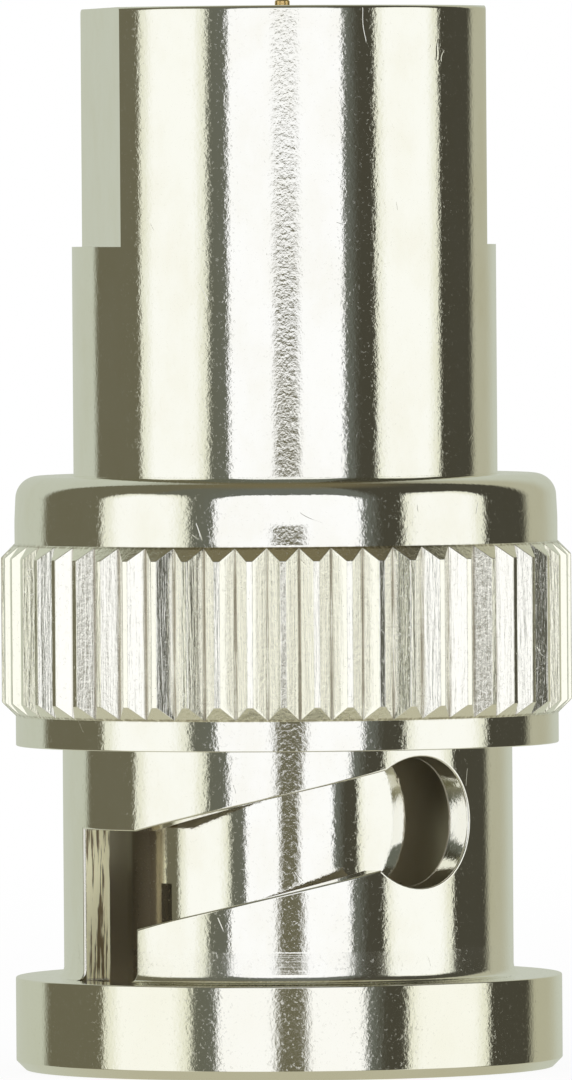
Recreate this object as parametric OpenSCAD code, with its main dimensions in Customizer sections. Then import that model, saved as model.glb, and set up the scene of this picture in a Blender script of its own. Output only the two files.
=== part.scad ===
// Coaxial adapter: a bayonet plug below, an internally threaded socket above.
// Millimetres. +Z runs from the plug to the socket, z = 0 is the nut's front face.

/* [Coupling nut outside] */
// Height of the front flange
flange_h = 2.36; // [1.6:0.01:3.2]
// How far the flange stands out from the neck
flange_reach = 1.23; // [0.6:0.01:2]
// Chamfer on the flange's front edge
flange_chamfer = 0.24; // [0.05:0.01:0.5]
// Length of the slotted neck
neck_h = 5.87; // [5.4:0.01:8]
// Wall of the slotted neck
neck_wall = 0.78; // [0.5:0.01:1.2]
// Fillet at the foot of the neck
neck_fillet = 0.25; // [0.1:0.01:0.5]
// Length of the collar between the neck and the knurl
front_collar_h = 0.76; // [0.3:0.01:2]
// Length of the knurl
knurl_h = 4.37; // [3.2:0.01:7]
// How far the knurl's crests stand above the collars
knurl_rise = 0.35; // [0.2:0.01:0.7]
// How far the knurl's roots stay above the collars
knurl_root = 0.02; // [0.01:0.01:0.1]
// Width left on the knurl's crests
knurl_land = 0.15; // [0.05:0.01:0.3]
// Number of knurl teeth
knurl_teeth = 54; // [24:2:80]
// Turn of the knurl from the entry groove
knurl_turn = -0.5; // [-15:0.1:15]
// Length of the collar behind the knurl
rear_collar_h = 1.71; // [1.2:0.01:3]
// Rounding of the nut's rear edge
rear_round = 0.78; // [0.2:0.01:1]

/* [Coupling nut inside] */
// Gap between the sleeve and the nut's bore, which takes the mating jack's wall
jack_gap = 0.83; // [0.6:0.01:1.2]
// Chamfer at the mouth of the bore
bore_chamfer = 0.3; // [0.1:0.01:0.5]
// Wall around the spring chamber
chamber_wall = 0.69; // [0.5:0.01:1.2]
// Thickness of the rolled lip behind the washers
lip_t = 0.67; // [0.4:0.01:1]

/* [Bayonet track] */
// Angle at which the entry groove stands
entry_angle = -155; // [-180:1:180]
// Width of the entry groove
groove_w = 2.2; // [1.8:0.05:2.6]
// How deep the groove goes into the flange, past the neck's surface
groove_bite = 0.04; // [0.02:0.01:0.4]
// How far the groove runs on past the ramp
groove_overrun = 0.245; // [0:0.005:0.4]
// Axial width of the ramp
ramp_w = 2.46; // [2:0.01:2.8]
// Rise of the ramp from the groove to the locking hole
ramp_rise = 1.99; // [1:0.01:2.4]
// Turn of the ramp from the groove to the locking hole
ramp_turn = 89.5; // [60:0.5:110]
// Diameter of the locking hole
lock_d = 3.3; // [2.8:0.05:3.6]
// How far the locking hole drops back from the end of the ramp
lock_drop = 0.317; // [0.1:0.001:0.6]
// Wall between the locking hole and the collar
lock_edge = 0.21; // [0.1:0.01:0.5]

/* [Spring and washers] */
// Thickness of the flat washer
washer_t = 0.3; // [0.2:0.01:0.5]
// Free height of the wave washer
wave_h = 0.8; // [0.7:0.01:1.2]
// Sheet thickness of the wave washer
wave_t = 0.2; // [0.12:0.01:0.3]
// Number of waves
wave_count = 3; // [2:1:5]

/* [Body] */
// Length of the barrel behind the nut
barrel_len = 11.85; // [9.8:0.01:18]
// How far the shoulder stands out from the barrel
shoulder_reach = 0.72; // [0.5:0.01:1.2]
// Thickness of the shoulder that the nut is drawn against
shoulder_h = 0.85; // [0.6:0.01:1.6]
// Length of the hub in front of the shoulder
hub_h = 0.35; // [0.2:0.01:1]
// Depth to which each wrench flat is cut
flats_cut = 0.66; // [0.2:0.01:0.9]
// Length of the wrench flats
flats_len = 6.04; // [3:0.01:9]
// Rounding of the rim's outer edge
rim_round = 0.2; // [0.05:0.01:0.4]

/* [Threaded socket] */
// Wall of the socket, outside the thread's major diameter
socket_wall = 1.385; // [1:0.005:1.8]
// Depth of the socket
socket_depth = 6.3; // [4.5:0.05:8]
// Chamfer at the socket's mouth
socket_chamfer = 0.35; // [0.1:0.01:0.5]
// Pitch of the thread
thread_pitch = 0.75; // [0.6:0.01:1.2]
// How high the thread's ridge stands
thread_depth = 0.4; // [0.2:0.01:0.6]
// Thickness of the bush at the bottom of the socket
bush_t = 1; // [0.6:0.05:1.8]
// Wall of the bush
bush_wall = 1.28; // [0.6:0.01:2]
// Width of the shelf that the bush is pressed against
bush_shelf = 0.28; // [0.2:0.01:0.8]

/* [Plug contacts] */
// Outside diameter of the slotted sleeve
sleeve_d = 8.2; // [6.8:0.01:9.8]
// Wall of the slotted sleeve
sleeve_wall = 0.55; // [0.35:0.01:0.7]
// Chamfer on both edges of the sleeve's tip
sleeve_chamfer = 0.18; // [0.05:0.01:0.2]
// How far the sleeve's root stands out from the sleeve, under the gasket
sleeve_root_reach = 0.18; // [0.1:0.01:0.25]
// How far the sleeve's tip is set back from the nut's front face
sleeve_setback = 0.5; // [0.2:0.01:2]
// Length of the sleeve that is pressed into the body
sleeve_seat = 2.4; // [1.6:0.01:3.2]
// Width of the shelf that the sleeve is pressed against
sleeve_shelf = 0.25; // [0.1:0.01:0.5]
// Width of the sleeve's slits
slit_w = 0.4; // [0.2:0.01:0.6]
// Length of the sleeve's slits
slit_len = 4.3; // [2:0.01:6]
// Angle at which the first slit stands
slit_angle = -150.2; // [-180:0.1:180]
// Thickness of the face gasket
gasket_t = 1.1; // [0.6:0.01:1.6]
// How far the insulator's face is set back from the nut's front face
dielectric_setback = 6.2; // [5:0.01:8]
// Diameter of the plug's centre contact
pin_d = 1.35; // [1:0.01:1.8]
// Diameter of the flat end of the contact's point
pin_point_d = 0.68; // [0.3:0.01:0.9]
// Length of the contact's point
pin_point_len = 0.7; // [0.3:0.01:1.5]
// How far the centre contact's tip is set back from the nut's front face
pin_setback = 1.3; // [0.4:0.01:3]

/* [Centre line inside] */
// How far the contact's root, inside the insulator, stands out from the contact
pin_root_reach = 0.2; // [0.1:0.01:0.4]
// How far the collar stands out from the contact's root
pin_collar_reach = 0.45; // [0.25:0.01:0.7]
// Thickness of the contact's collar
pin_collar_t = 1; // [0.5:0.01:1.6]
// Wall of the contact's tail, around the socket pin's root
tail_wall = 0.5; // [0.3:0.01:0.8]
// Insulator left between the contact's tail and the bush
tail_cover = 2.1; // [1:0.01:3]
// Diameter of the socket pin's shank
shank_d = 0.9; // [0.7:0.01:1.2]
// How far the socket pin's root, inside the insulator, stands out from the shank
shank_root_reach = 0.17; // [0.1:0.01:0.4]
// How far the root reaches into the contact's collar
root_depth = 0.48; // [0.1:0.01:1]
// Diameter of the socket pin's tip
tip_d = 0.38; // [0.25:0.01:0.6]
// Length of the tip at its full diameter
tip_len = 1.3; // [0.6:0.01:3]
// Length of the taper between shank and tip
tip_taper = 0.6; // [0.2:0.01:1.5]
// How far the tip stands proud of the rim
tip_proud = 0.2; // [0:0.01:1]

/* [Clearances] */
// Radial clearance of a pressed or seated part
seat_clear = 0.02; // [0.01:0.005:0.04]
// Radial clearance of the shoulder in the spring chamber
run_clear = 0.1; // [0.05:0.01:0.2]
// Radial clearance of the washers and the lip
washer_clear = 0.08; // [0.04:0.01:0.12]
// Axial clearance between the nut and the front of the shoulder
stop_gap = 0.05; // [0.02:0.01:0.2]
// Radial clearance of the hub and the gasket in the nut's bore
bore_clear = 0.1; // [0.05:0.01:0.2]

/* [Hidden] */
$fn = 96;

// Radii inside the body, outwards from the sleeve
sleeve_r = sleeve_d / 2;
sleeve_root_r = sleeve_r + sleeve_root_reach;
sleeve_in_r = sleeve_r - sleeve_wall;
core_r = sleeve_in_r - sleeve_shelf;
bush_r = core_r + bush_shelf;
bush_bore_r = bush_r - bush_wall;
thread_crest_r = bush_r + seat_clear;
socket_r = thread_crest_r + thread_depth;
barrel_r = socket_r + socket_wall;

// Radii of the body and of the nut that runs on it
shoulder_r = barrel_r + shoulder_reach;
chamber_r = shoulder_r + run_clear;
collar_r = chamber_r + chamber_wall;
crest_r = collar_r + knurl_rise;
root_r = collar_r + knurl_root;
nut_bore_r = sleeve_r + jack_gap;
neck_r = nut_bore_r + neck_wall;
groove_r = neck_r + groove_bite;
flange_r = neck_r + flange_reach;
lip_r = barrel_r + washer_clear;
hub_r = nut_bore_r - bore_clear;

// Radii on the centre line
pin_r = pin_d / 2;
pin_root_r = pin_r + pin_root_reach;
pin_collar_r = pin_root_r + pin_collar_reach;
shank_r = shank_d / 2;
shank_root_r = shank_r + shank_root_reach;
tail_r = shank_root_r + seat_clear + tail_wall;

// Heights along the nut
neck_top = flange_h + neck_h;
knurl_z = neck_top + front_collar_h;
knurl_top = knurl_z + knurl_h;
nut_len = knurl_top + rear_collar_h;
lip_z = nut_len - lip_t;

// Heights of the stack that the lip holds: washer, spring, shoulder
washer_z = lip_z - washer_t;
shoulder_top = washer_z - wave_h;
shoulder_z = shoulder_top - shoulder_h;
chamber_z = shoulder_z - stop_gap;
hub_z = shoulder_z - hub_h;
gasket_z = hub_z - gasket_t;

// Heights along the body and the centre line
rim_z = nut_len + barrel_len;
ledge_z = rim_z - flats_len;
socket_z = rim_z - socket_depth;
bush_z = socket_z - bush_t;
sleeve_end = hub_z + sleeve_seat;
pin_collar_z = sleeve_end - pin_collar_t;
tail_z = bush_z - tail_cover;
shank_root_z = sleeve_end - root_depth;
tip_z = rim_z + tip_proud;

// Heights along the bayonet track
lock_z = neck_top - lock_edge - lock_d / 2;
ramp_end = lock_z + lock_drop;
ramp_start = ramp_end - ramp_rise;
groove_top = ramp_start + ramp_w / 2 + groove_overrun;

// Cuts run this far past the faces that they open
past = 0.5;
// Straight steps in each rounded corner, and degrees between the rings of the ramp, the waves and the thread
round_steps = 6;
ramp_step = 3;
wave_step = 5;
thread_step = 15;
// Widths of the thread's ridge at its crest and inside the wall, as shares of the pitch
crest_share = 0.25;
base_share = 0.95;
// How far the ridge's base lies inside the wall
thread_bite = 0.06;

nickel = "#c6c1b2";
gold = "#d9b45a";
ptfe = "#f3f2ee";
silicone = "#3b3a39";
spring_steel = "#9a9890";

// Points of an arc about a centre, from one angle to another
function arc(centre, radius, from, to) =
    [for (i = [0:round_steps]) let (a = from + (to - from) * i / round_steps)
        [centre[0] + radius * cos(a), centre[1] + radius * sin(a)]];

// A point at a radius, an angle and a height
function at(radius, angle, height) = [radius * cos(angle), radius * sin(angle), height];

// A ring of revolution from one radius to another
module ring(inner, outer, from, to) {
    rotate_extrude()
        translate([inner, from]) square([outer - inner, to - from]);
}

// The solid between rings of four points each, as triangles, closed on itself or capped at its ends
module swept_ring(rings, closed) {
    count = len(rings);
    last = closed ? count - 1 : count - 2;
    sides = [for (i = [0:last]) for (k = [0:3])
        let (a = 4 * i + k, b = 4 * i + (k + 1) % 4,
             c = 4 * ((i + 1) % count) + (k + 1) % 4, d = 4 * ((i + 1) % count) + k)
        each [[a, b, c], [a, c, d]]];
    end = 4 * (count - 1);
    caps = closed ? [] : [[0, 2, 1], [0, 3, 2], [end, end + 1, end + 2], [end, end + 2, end + 3]];
    polyhedron(points = [for (r = rings) each r], faces = concat(sides, caps));
}

// The nut's turned outline, with the knurl's band still plain between its two chamfers
module nut_blank() {
    rotate_extrude() polygon(concat(
        [[nut_bore_r - past, 0], [flange_r - flange_chamfer, 0], [flange_r, flange_chamfer], [flange_r, flange_h]],
        arc([neck_r + neck_fillet, flange_h + neck_fillet], neck_fillet, 270, 180),
        [[neck_r, neck_top], [collar_r, neck_top], [collar_r, knurl_z], [crest_r, knurl_z + knurl_rise],
         [crest_r, knurl_top - knurl_rise], [collar_r, knurl_top]],
        arc([collar_r - rear_round, nut_len - rear_round], rear_round, 0, 90),
        [[nut_bore_r - past, nut_len]]));
}

// The knurl's straight V grooves: a tube whose bore is a star of sharp teeth, which leave their lands on the band
module knurl_grooves() {
    half = 180 / knurl_teeth;
    half_land = asin(knurl_land / 2 / crest_r);
    root_y = root_r * sin(half);
    root_x = root_r * cos(half);
    star_r = root_x + (crest_r * cos(half_land) - root_x) * root_y / (root_y - crest_r * sin(half_land));
    translate([0, 0, knurl_z - past]) difference() {
        cylinder(r = star_r + past, h = knurl_h + 2 * past);
        translate([0, 0, -past]) linear_extrude(knurl_h + 4 * past)
            polygon([for (i = [0:2 * knurl_teeth - 1])
                let (r = i % 2 == 0 ? star_r : root_r) [r * cos(i * half), r * sin(i * half)]]);
    }
}

// The nut's bore, its spring chamber and the opening in the rolled lip
module nut_bores() {
    rotate_extrude() polygon([
        [0, -past], [nut_bore_r + bore_chamfer + past, -past], [nut_bore_r, bore_chamfer],
        [nut_bore_r, chamber_z], [chamber_r, chamber_z], [chamber_r, lip_z],
        [lip_r, lip_z], [lip_r, nut_len + past], [0, nut_len + past]]);
}

// One bayonet track: entry groove, helical ramp and locking hole
module bayonet_track() {
    reach = flange_r + past;
    intersection() {
        translate([0, -groove_w / 2, -past]) cube([reach, groove_w, groove_top + past]);
        translate([0, 0, -past]) cylinder(r = groove_r, h = groove_top + past);
    }
    translate([0, -groove_w / 2, flange_h]) cube([reach, groove_w, groove_top - flange_h]);
    steps = ceil(ramp_turn / ramp_step);
    swept_ring([for (i = [0:steps])
        let (a = ramp_turn * i / steps, z = ramp_start + ramp_rise * i / steps)
        [at(nut_bore_r - past, a, z - ramp_w / 2), at(neck_r + past, a, z - ramp_w / 2),
         at(neck_r + past, a, z + ramp_w / 2), at(nut_bore_r - past, a, z + ramp_w / 2)]], false);
    rotate([0, 90, ramp_turn]) translate([-lock_z, 0, 0]) cylinder(d = lock_d, h = reach);
}

module coupling_nut() {
    color(nickel) difference() {
        nut_blank();
        rotate(entry_angle + knurl_turn) knurl_grooves();
        nut_bores();
        for (side = [0, 180]) rotate(entry_angle + side) bayonet_track();
    }
}

module thrust_washer() {
    color(spring_steel) ring(barrel_r + washer_clear, chamber_r - washer_clear, washer_z, lip_z);
}

module wave_washer() {
    middle = shoulder_top + wave_h / 2;
    swing = (wave_h - wave_t) / 2;
    inner = barrel_r + washer_clear;
    outer = chamber_r - washer_clear;
    color(spring_steel) swept_ring([for (a = [0:wave_step:360 - wave_step])
        let (z = middle + swing * cos(wave_count * a))
        [at(inner, a, z - wave_t / 2), at(outer, a, z - wave_t / 2),
         at(outer, a, z + wave_t / 2), at(inner, a, z + wave_t / 2)]], true);
}

// One wrench flat's waste, on the +X side
module flat_cut() {
    translate([barrel_r - flats_cut, -barrel_r, ledge_z]) cube([barrel_r, 2 * barrel_r, flats_len + past]);
}

// The socket's right-handed thread: a ridge that climbs one pitch in each turn
module socket_thread() {
    base = base_share * thread_pitch / 2;
    crest = crest_share * thread_pitch / 2;
    foot = socket_z + base + seat_clear;
    climb = thread_pitch * thread_step / 360;
    steps = floor((rim_z - socket_chamfer - seat_clear - base - foot) / climb);
    swept_ring([for (i = [0:steps])
        let (a = i * thread_step, z = foot + i * climb)
        [at(thread_crest_r, a, z - crest), at(socket_r + thread_bite, a, z - base),
         at(socket_r + thread_bite, a, z + base), at(thread_crest_r, a, z + crest)]], false);
}

module adapter_body() {
    seat_r = sleeve_root_r + seat_clear;
    color(nickel) socket_thread();
    color(nickel) difference() {
        rotate_extrude() polygon(concat(
            [[seat_r, hub_z], [hub_r, hub_z], [hub_r, shoulder_z], [shoulder_r, shoulder_z],
             [shoulder_r, shoulder_top], [barrel_r, shoulder_top]],
            arc([barrel_r - rim_round, rim_z - rim_round], rim_round, 0, 90),
            [[socket_r + socket_chamfer, rim_z], [socket_r, rim_z - socket_chamfer],
             [socket_r, socket_z], [bush_r + seat_clear, socket_z], [bush_r + seat_clear, bush_z],
             [core_r, bush_z], [core_r, sleeve_end], [seat_r, sleeve_end]]));
        for (side = [0, 180]) rotate(side) flat_cut();
    }
}

module outer_contact() {
    chamfer_top = sleeve_setback + sleeve_chamfer;
    color(nickel) difference() {
        rotate_extrude() polygon([
            [sleeve_in_r + sleeve_chamfer, sleeve_setback], [sleeve_r - sleeve_chamfer, sleeve_setback],
            [sleeve_r, chamfer_top], [sleeve_r, gasket_z], [sleeve_root_r, gasket_z],
            [sleeve_root_r, sleeve_end], [sleeve_in_r, sleeve_end], [sleeve_in_r, chamfer_top]]);
        for (side = [0, 90]) rotate(slit_angle + side)
            translate([-sleeve_d, -slit_w / 2, sleeve_setback - past])
                cube([2 * sleeve_d, slit_w, slit_len + past]);
    }
}

module face_gasket() {
    color(silicone) ring(sleeve_root_r + seat_clear, hub_r, gasket_z, hub_z);
}

module front_insulator() {
    color(ptfe) rotate_extrude() polygon([
        [pin_root_r + seat_clear, dielectric_setback], [sleeve_in_r - seat_clear, dielectric_setback],
        [sleeve_in_r - seat_clear, sleeve_end], [pin_collar_r + seat_clear, sleeve_end],
        [pin_collar_r + seat_clear, pin_collar_z], [pin_root_r + seat_clear, pin_collar_z]]);
}

module plug_contact() {
    color(gold) difference() {
        rotate_extrude() polygon([
            [0, pin_setback], [pin_point_d / 2, pin_setback], [pin_r, pin_setback + pin_point_len],
            [pin_r, dielectric_setback], [pin_root_r, dielectric_setback], [pin_root_r, pin_collar_z],
            [pin_collar_r, pin_collar_z], [pin_collar_r, sleeve_end],
            [tail_r, sleeve_end], [tail_r, tail_z], [0, tail_z]]);
        translate([0, 0, shank_root_z]) cylinder(r = shank_root_r + seat_clear, h = bush_z - shank_root_z);
    }
}

module rear_insulator() {
    color(ptfe) rotate_extrude() polygon([
        [tail_r + seat_clear, sleeve_end], [core_r - seat_clear, sleeve_end],
        [core_r - seat_clear, bush_z], [shank_root_r + seat_clear, bush_z],
        [shank_root_r + seat_clear, tail_z], [tail_r + seat_clear, tail_z]]);
}

module socket_bush() {
    color(nickel) ring(bush_bore_r, bush_r, bush_z, socket_z);
}

module socket_pin() {
    tip_r = tip_d / 2;
    taper_top = tip_z - tip_len;
    color(gold) rotate_extrude() polygon([
        [0, shank_root_z], [shank_root_r, shank_root_z], [shank_root_r, bush_z], [shank_r, bush_z],
        [shank_r, taper_top - tip_taper], [tip_r, taper_top], [tip_r, tip_z], [0, tip_z]]);
}

adapter_body();
outer_contact();
coupling_nut();
wave_washer();
thrust_washer();
face_gasket();
front_insulator();
plug_contact();
rear_insulator();
socket_bush();
socket_pin();
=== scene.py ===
"""Coaxial adapter, bayonet plug to threaded socket: the dressed model, built round its packed frame."""

import bpy
import numpy as np
from bpy.props import FloatProperty, FloatVectorProperty, IntProperty, PointerProperty
from mathutils import Matrix, Vector


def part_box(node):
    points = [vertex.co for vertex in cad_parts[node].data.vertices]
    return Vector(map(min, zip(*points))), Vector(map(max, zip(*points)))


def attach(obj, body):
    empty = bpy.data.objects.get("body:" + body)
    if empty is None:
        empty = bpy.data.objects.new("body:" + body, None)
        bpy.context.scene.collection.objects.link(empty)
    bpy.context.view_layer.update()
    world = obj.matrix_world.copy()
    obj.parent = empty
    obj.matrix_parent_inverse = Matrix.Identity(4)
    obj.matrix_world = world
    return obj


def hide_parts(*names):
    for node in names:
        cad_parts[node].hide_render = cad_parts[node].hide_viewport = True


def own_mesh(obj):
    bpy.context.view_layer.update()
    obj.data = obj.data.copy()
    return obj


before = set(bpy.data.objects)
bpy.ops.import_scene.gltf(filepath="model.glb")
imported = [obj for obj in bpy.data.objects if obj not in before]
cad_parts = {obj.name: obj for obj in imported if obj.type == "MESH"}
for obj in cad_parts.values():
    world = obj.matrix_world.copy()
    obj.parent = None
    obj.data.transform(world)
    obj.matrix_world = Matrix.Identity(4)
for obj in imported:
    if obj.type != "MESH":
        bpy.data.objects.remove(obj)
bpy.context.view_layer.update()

bl_info = {
    "name": "Coaxial adapter",
    "version": (1, 0, 0),
    "blender": (4, 5, 0),
    "location": "View3D > Sidebar > Adapter",
    "description": "Builds the turned and plated pieces of a coaxial adapter, and the stage it is shown on",
    "category": "Object",
}

MM = 0.001
HALF_TURN = np.pi
TURN = 2 * np.pi
DEGREES = 180 / np.pi
UP = np.array([0.0, 0.0, 1.0])

# Points this close are welded, and bends this small count as straight
WELD = 1e-8
STRAIGHT = 1e-9

# Rounded corners: the share of a side that one may take, and its steps, fewer for a smaller radius
CORNER_SHARE = 0.49
STEP_LENGTH = 0.06 * MM
LEAST_STEPS = 3
MOST_STEPS = 16

# Columns round a turned piece, a contact, the wave washer and the floor, and the floor's rings
COLUMNS = 192
PIN_COLUMNS = 96
WAVE_COLUMNS = 240
FLOOR_COLUMNS = 96
FLOOR_RINGS = 25


# Sizes and colours that a user would change

def length(name, millimetres, description):
    """A length property, given in millimetres."""
    return FloatProperty(name=name, description=description, default=millimetres * MM, min=0.0,
                         precision=5, unit="LENGTH", subtype="DISTANCE")


def angle(name, degrees, description):
    """An angle property, given in degrees."""
    return FloatProperty(name=name, description=description, default=float(np.radians(degrees)),
                         precision=3, unit="ROTATION", subtype="ANGLE")


def colour(name, value, description):
    """A colour property, as linear red, green and blue."""
    return FloatVectorProperty(name=name, description=description, default=value, size=3,
                               min=0.0, max=1.0, subtype="COLOR")


def light(name, value, description):
    """A light's colour and level together, as linear red, green and blue that may pass 1."""
    return FloatVectorProperty(name=name, description=description, default=value, size=3,
                               min=0.0, soft_max=2.0, subtype="COLOR")


def factor(name, value, description):
    """A share from 0 to 1."""
    return FloatProperty(name=name, description=description, default=value, min=0.0, max=1.0,
                         subtype="FACTOR")


class NutSizes(bpy.types.PropertyGroup):
    """Sizes of the coupling nut."""
    bore: length("Bore radius", 4.93, "Radius of the bore that takes the jack")
    mouth: length("Mouth chamfer", 0.3, "Chamfer at the mouth of the bore")
    flange: length("Flange radius", 6.94, "Radius of the front flange")
    flange_top: length("Flange height", 2.36, "Height of the front flange")
    flange_chamfer: length("Flange chamfer", 0.24, "Chamfer on the flange's front edge")
    neck: length("Neck radius", 5.71, "Radius of the slotted neck")
    neck_fillet: length("Neck fillet", 0.25, "Fillet at the foot of the neck")
    neck_top: length("Neck top", 8.23, "Height at which the neck meets the front collar")
    collar: length("Collar radius", 6.895, "Radius of the collars beside the knurl")
    knurl_foot: length("Knurl start", 8.99, "Height at which the knurl starts")
    knurl_top: length("Knurl end", 13.36, "Height at which the knurl ends")
    crest: length("Crest radius", 7.245, "Radius over the knurl's crests")
    root: length("Root radius", 6.915, "Radius at the knurl's roots")
    land: length("Crest land", 0.15, "Width left on the knurl's crests")
    teeth: IntProperty(name="Knurl teeth", description="Number of knurl teeth", default=54, min=12)
    knurl_turn: angle("Knurl turn", -0.5, "Turn of the knurl from the entry groove")
    end: length("Length", 15.07, "Height of the nut's rear end")
    rear_round: length("Rear rounding", 0.78, "Rounding of the rear edge")
    rear_crown: length("Rear crown", 13.95, "Height from which the rear collar starts to draw in")
    rear_lean: angle("Rear lean", 2.8, "Lean of the rear collar above its crown")
    chamber_floor: length("Chamber floor", 12.4, "Height of the spring chamber's floor")
    chamber: length("Chamber radius", 6.205, "Radius of the spring chamber")
    lip_under: length("Lip underside", 14.4, "Height of the rolled lip's underside")
    lip: length("Lip radius", 5.465, "Radius of the opening in the rolled lip")
    entry: angle("Entry angle", -155, "Angle at which the first entry groove stands")
    groove: length("Groove width", 2.2, "Width of the entry groove")
    groove_floor: length("Groove floor radius", 5.75, "Radius of the groove's floor in the flange")
    groove_top: length("Groove top", 6.172, "Height at which the entry groove ends")
    ramp_start: length("Ramp start", 4.697, "Height of the ramp's middle at the groove")
    ramp_rise: length("Ramp rise", 1.99, "Rise of the ramp up to the locking hole")
    ramp_width: length("Ramp width", 2.46, "Axial width of the ramp")
    ramp_turn: angle("Ramp turn", 89.5, "Turn of the ramp from the groove to the locking hole")
    hole: length("Locking hole radius", 1.65, "Radius of the locking hole")
    hole_height: length("Locking hole height", 6.37, "Height of the locking hole's middle")
    edge: length("Edge rounding", 0.035, "Rounding left on the nut's turned edges")
    track_edge: length("Track edge rounding", 0.06, "Rounding left along the edge of the bayonet track")


class BodySizes(bpy.types.PropertyGroup):
    """Sizes of the adapter's body, with its threaded socket."""
    hub: length("Hub radius", 4.83, "Radius of the hub in front of the shoulder")
    hub_foot: length("Hub foot", 12.1, "Height of the hub's front face")
    shoulder: length("Shoulder radius", 6.105, "Radius of the shoulder")
    shoulder_foot: length("Shoulder foot", 12.45, "Height of the shoulder's front")
    shoulder_top: length("Shoulder top", 13.3, "Height of the shoulder's rear")
    barrel: length("Barrel radius", 5.385, "Radius of the barrel")
    rim: length("Rim height", 26.92, "Height of the rim")
    rim_round: length("Rim rounding", 0.1, "Rounding of the rim's outer edge")
    flat: length("Flat distance", 4.725, "Distance of each wrench flat from the axis")
    ledge: length("Ledge height", 20.88, "Height at which the wrench flats start")
    ledge_fillet: length("Ledge fillet", 0.08, "Fillet between the ledge and the flat")
    thread: length("Thread major radius", 4.0, "Major radius of the socket's thread")
    minor: length("Thread minor radius", 3.6, "Minor radius of the socket's thread")
    pitch: length("Thread pitch", 0.75, "Pitch of the socket's thread")
    mouth: length("Socket chamfer", 0.35, "Chamfer at the socket's mouth")
    socket_floor: length("Socket floor", 20.62, "Height of the socket's floor")
    bush_seat: length("Bush seat radius", 3.6, "Radius of the seat for the bush")
    bush_foot: length("Bush foot", 19.62, "Height of the shelf under the bush")
    core: length("Core radius", 3.3, "Radius of the bore for the rear insulator")
    sleeve_end: length("Sleeve end", 14.5, "Height of the shelf behind the sleeve")
    sleeve_seat: length("Sleeve seat radius", 4.3, "Radius of the seat for the sleeve")
    edge: length("Edge rounding", 0.03, "Rounding left on the body's turned edges")


class SleeveSizes(bpy.types.PropertyGroup):
    """Sizes of the slotted sleeve."""
    sleeve: length("Sleeve radius", 4.1, "Outside radius of the slotted sleeve")
    sleeve_bore: length("Sleeve bore", 3.55, "Inside radius of the slotted sleeve")
    sleeve_tip: length("Sleeve tip", 0.5, "Height of the sleeve's tip")
    sleeve_edge: length("Sleeve chamfer", 0.18, "Chamfer on both edges of the sleeve's tip")
    sleeve_root: length("Sleeve root radius", 4.28, "Radius of the sleeve's root")
    sleeve_step: length("Sleeve step", 11.0, "Height at which the sleeve's root starts")
    slit: length("Slit width", 0.4, "Width of the sleeve's slits")
    slit_end: length("Slit end", 4.8, "Height at which the slits end")
    slit_turn: angle("Slit angle", -150.2, "Angle at which the first slit stands")
    edge: length("Edge rounding", 0.02, "Rounding left on the sleeve's edges")


class CentreSizes(bpy.types.PropertyGroup):
    """Sizes of the centre contacts, insulators and washers."""
    nose_tip: length("Nose tip", 1.3, "Height of the plug contact's tip")
    nose_flat: length("Nose flat", 0.34, "Radius of the flat on the tip")
    nose_end: length("Nose end", 2.0, "Height at which the nose is full size")
    nose: length("Nose radius", 0.675, "Radius of the nose")
    shaft_foot: length("Shaft foot", 6.2, "Height at which the shaft and the front insulator start")
    shaft: length("Shaft radius", 0.875, "Radius of the shaft")
    collar_foot: length("Collar foot", 13.5, "Height of the collar's front")
    collar_top: length("Collar top", 14.5, "Height of the collar's rear")
    collar: length("Collar radius", 1.325, "Radius of the collar")
    tail: length("Tail radius", 1.14, "Radius of the tail")
    tail_top: length("Tail top", 17.52, "Height of the tail's end")
    tail_floor: length("Tail bore floor", 14.02, "Height of the floor of the tail's bore")
    tail_bore: length("Tail bore", 0.64, "Radius of the tail's bore")
    bush_foot: length("Bush foot", 19.62, "Height at which the rear insulator and the pin's root end")
    pin: length("Pin radius", 0.45, "Radius of the socket's pin")
    taper_foot: length("Taper foot", 25.22, "Height at which the pin starts to taper")
    taper_top: length("Taper top", 25.82, "Height at which the pin's tip starts")
    tip: length("Tip radius", 0.19, "Radius of the pin's tip")
    tip_top: length("Tip top", 27.12, "Height of the pin's tip")
    front: length("Front insulator radius", 3.53, "Radius of the front insulator")
    rear: length("Rear insulator radius", 3.28, "Radius of the rear insulator")
    clearance: length("Clearance", 0.02, "Gap between the contacts and the insulators")
    sheet: length("Spring sheet", 0.2, "Thickness of the wave washer's sheet")
    waves: IntProperty(name="Waves", description="Number of waves in the wave washer", default=3, min=2)
    pressed: factor("Pressed share", 0.375, "Share of the wave washer's height left when the nut is drawn")
    edge: length("Edge rounding", 0.02, "Rounding left on the small pieces' edges")


class FinishColours(bpy.types.PropertyGroup):
    """Colours of the platings and the insulators."""
    nickel: colour("Nickel", (0.915, 0.915, 0.85), "Bright nickel plating")
    gold: colour("Gold", (0.83, 0.61, 0.27), "Gold plating of the centre contacts")
    spring: colour("Spring metal", (0.62, 0.6, 0.55), "Spring metal of the washers")
    insulator: colour("Insulator", (0.86, 0.85, 0.82), "White insulator")
    silicone: colour("Silicone", (0.05, 0.048, 0.046), "Dark silicone of the gasket")


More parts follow.
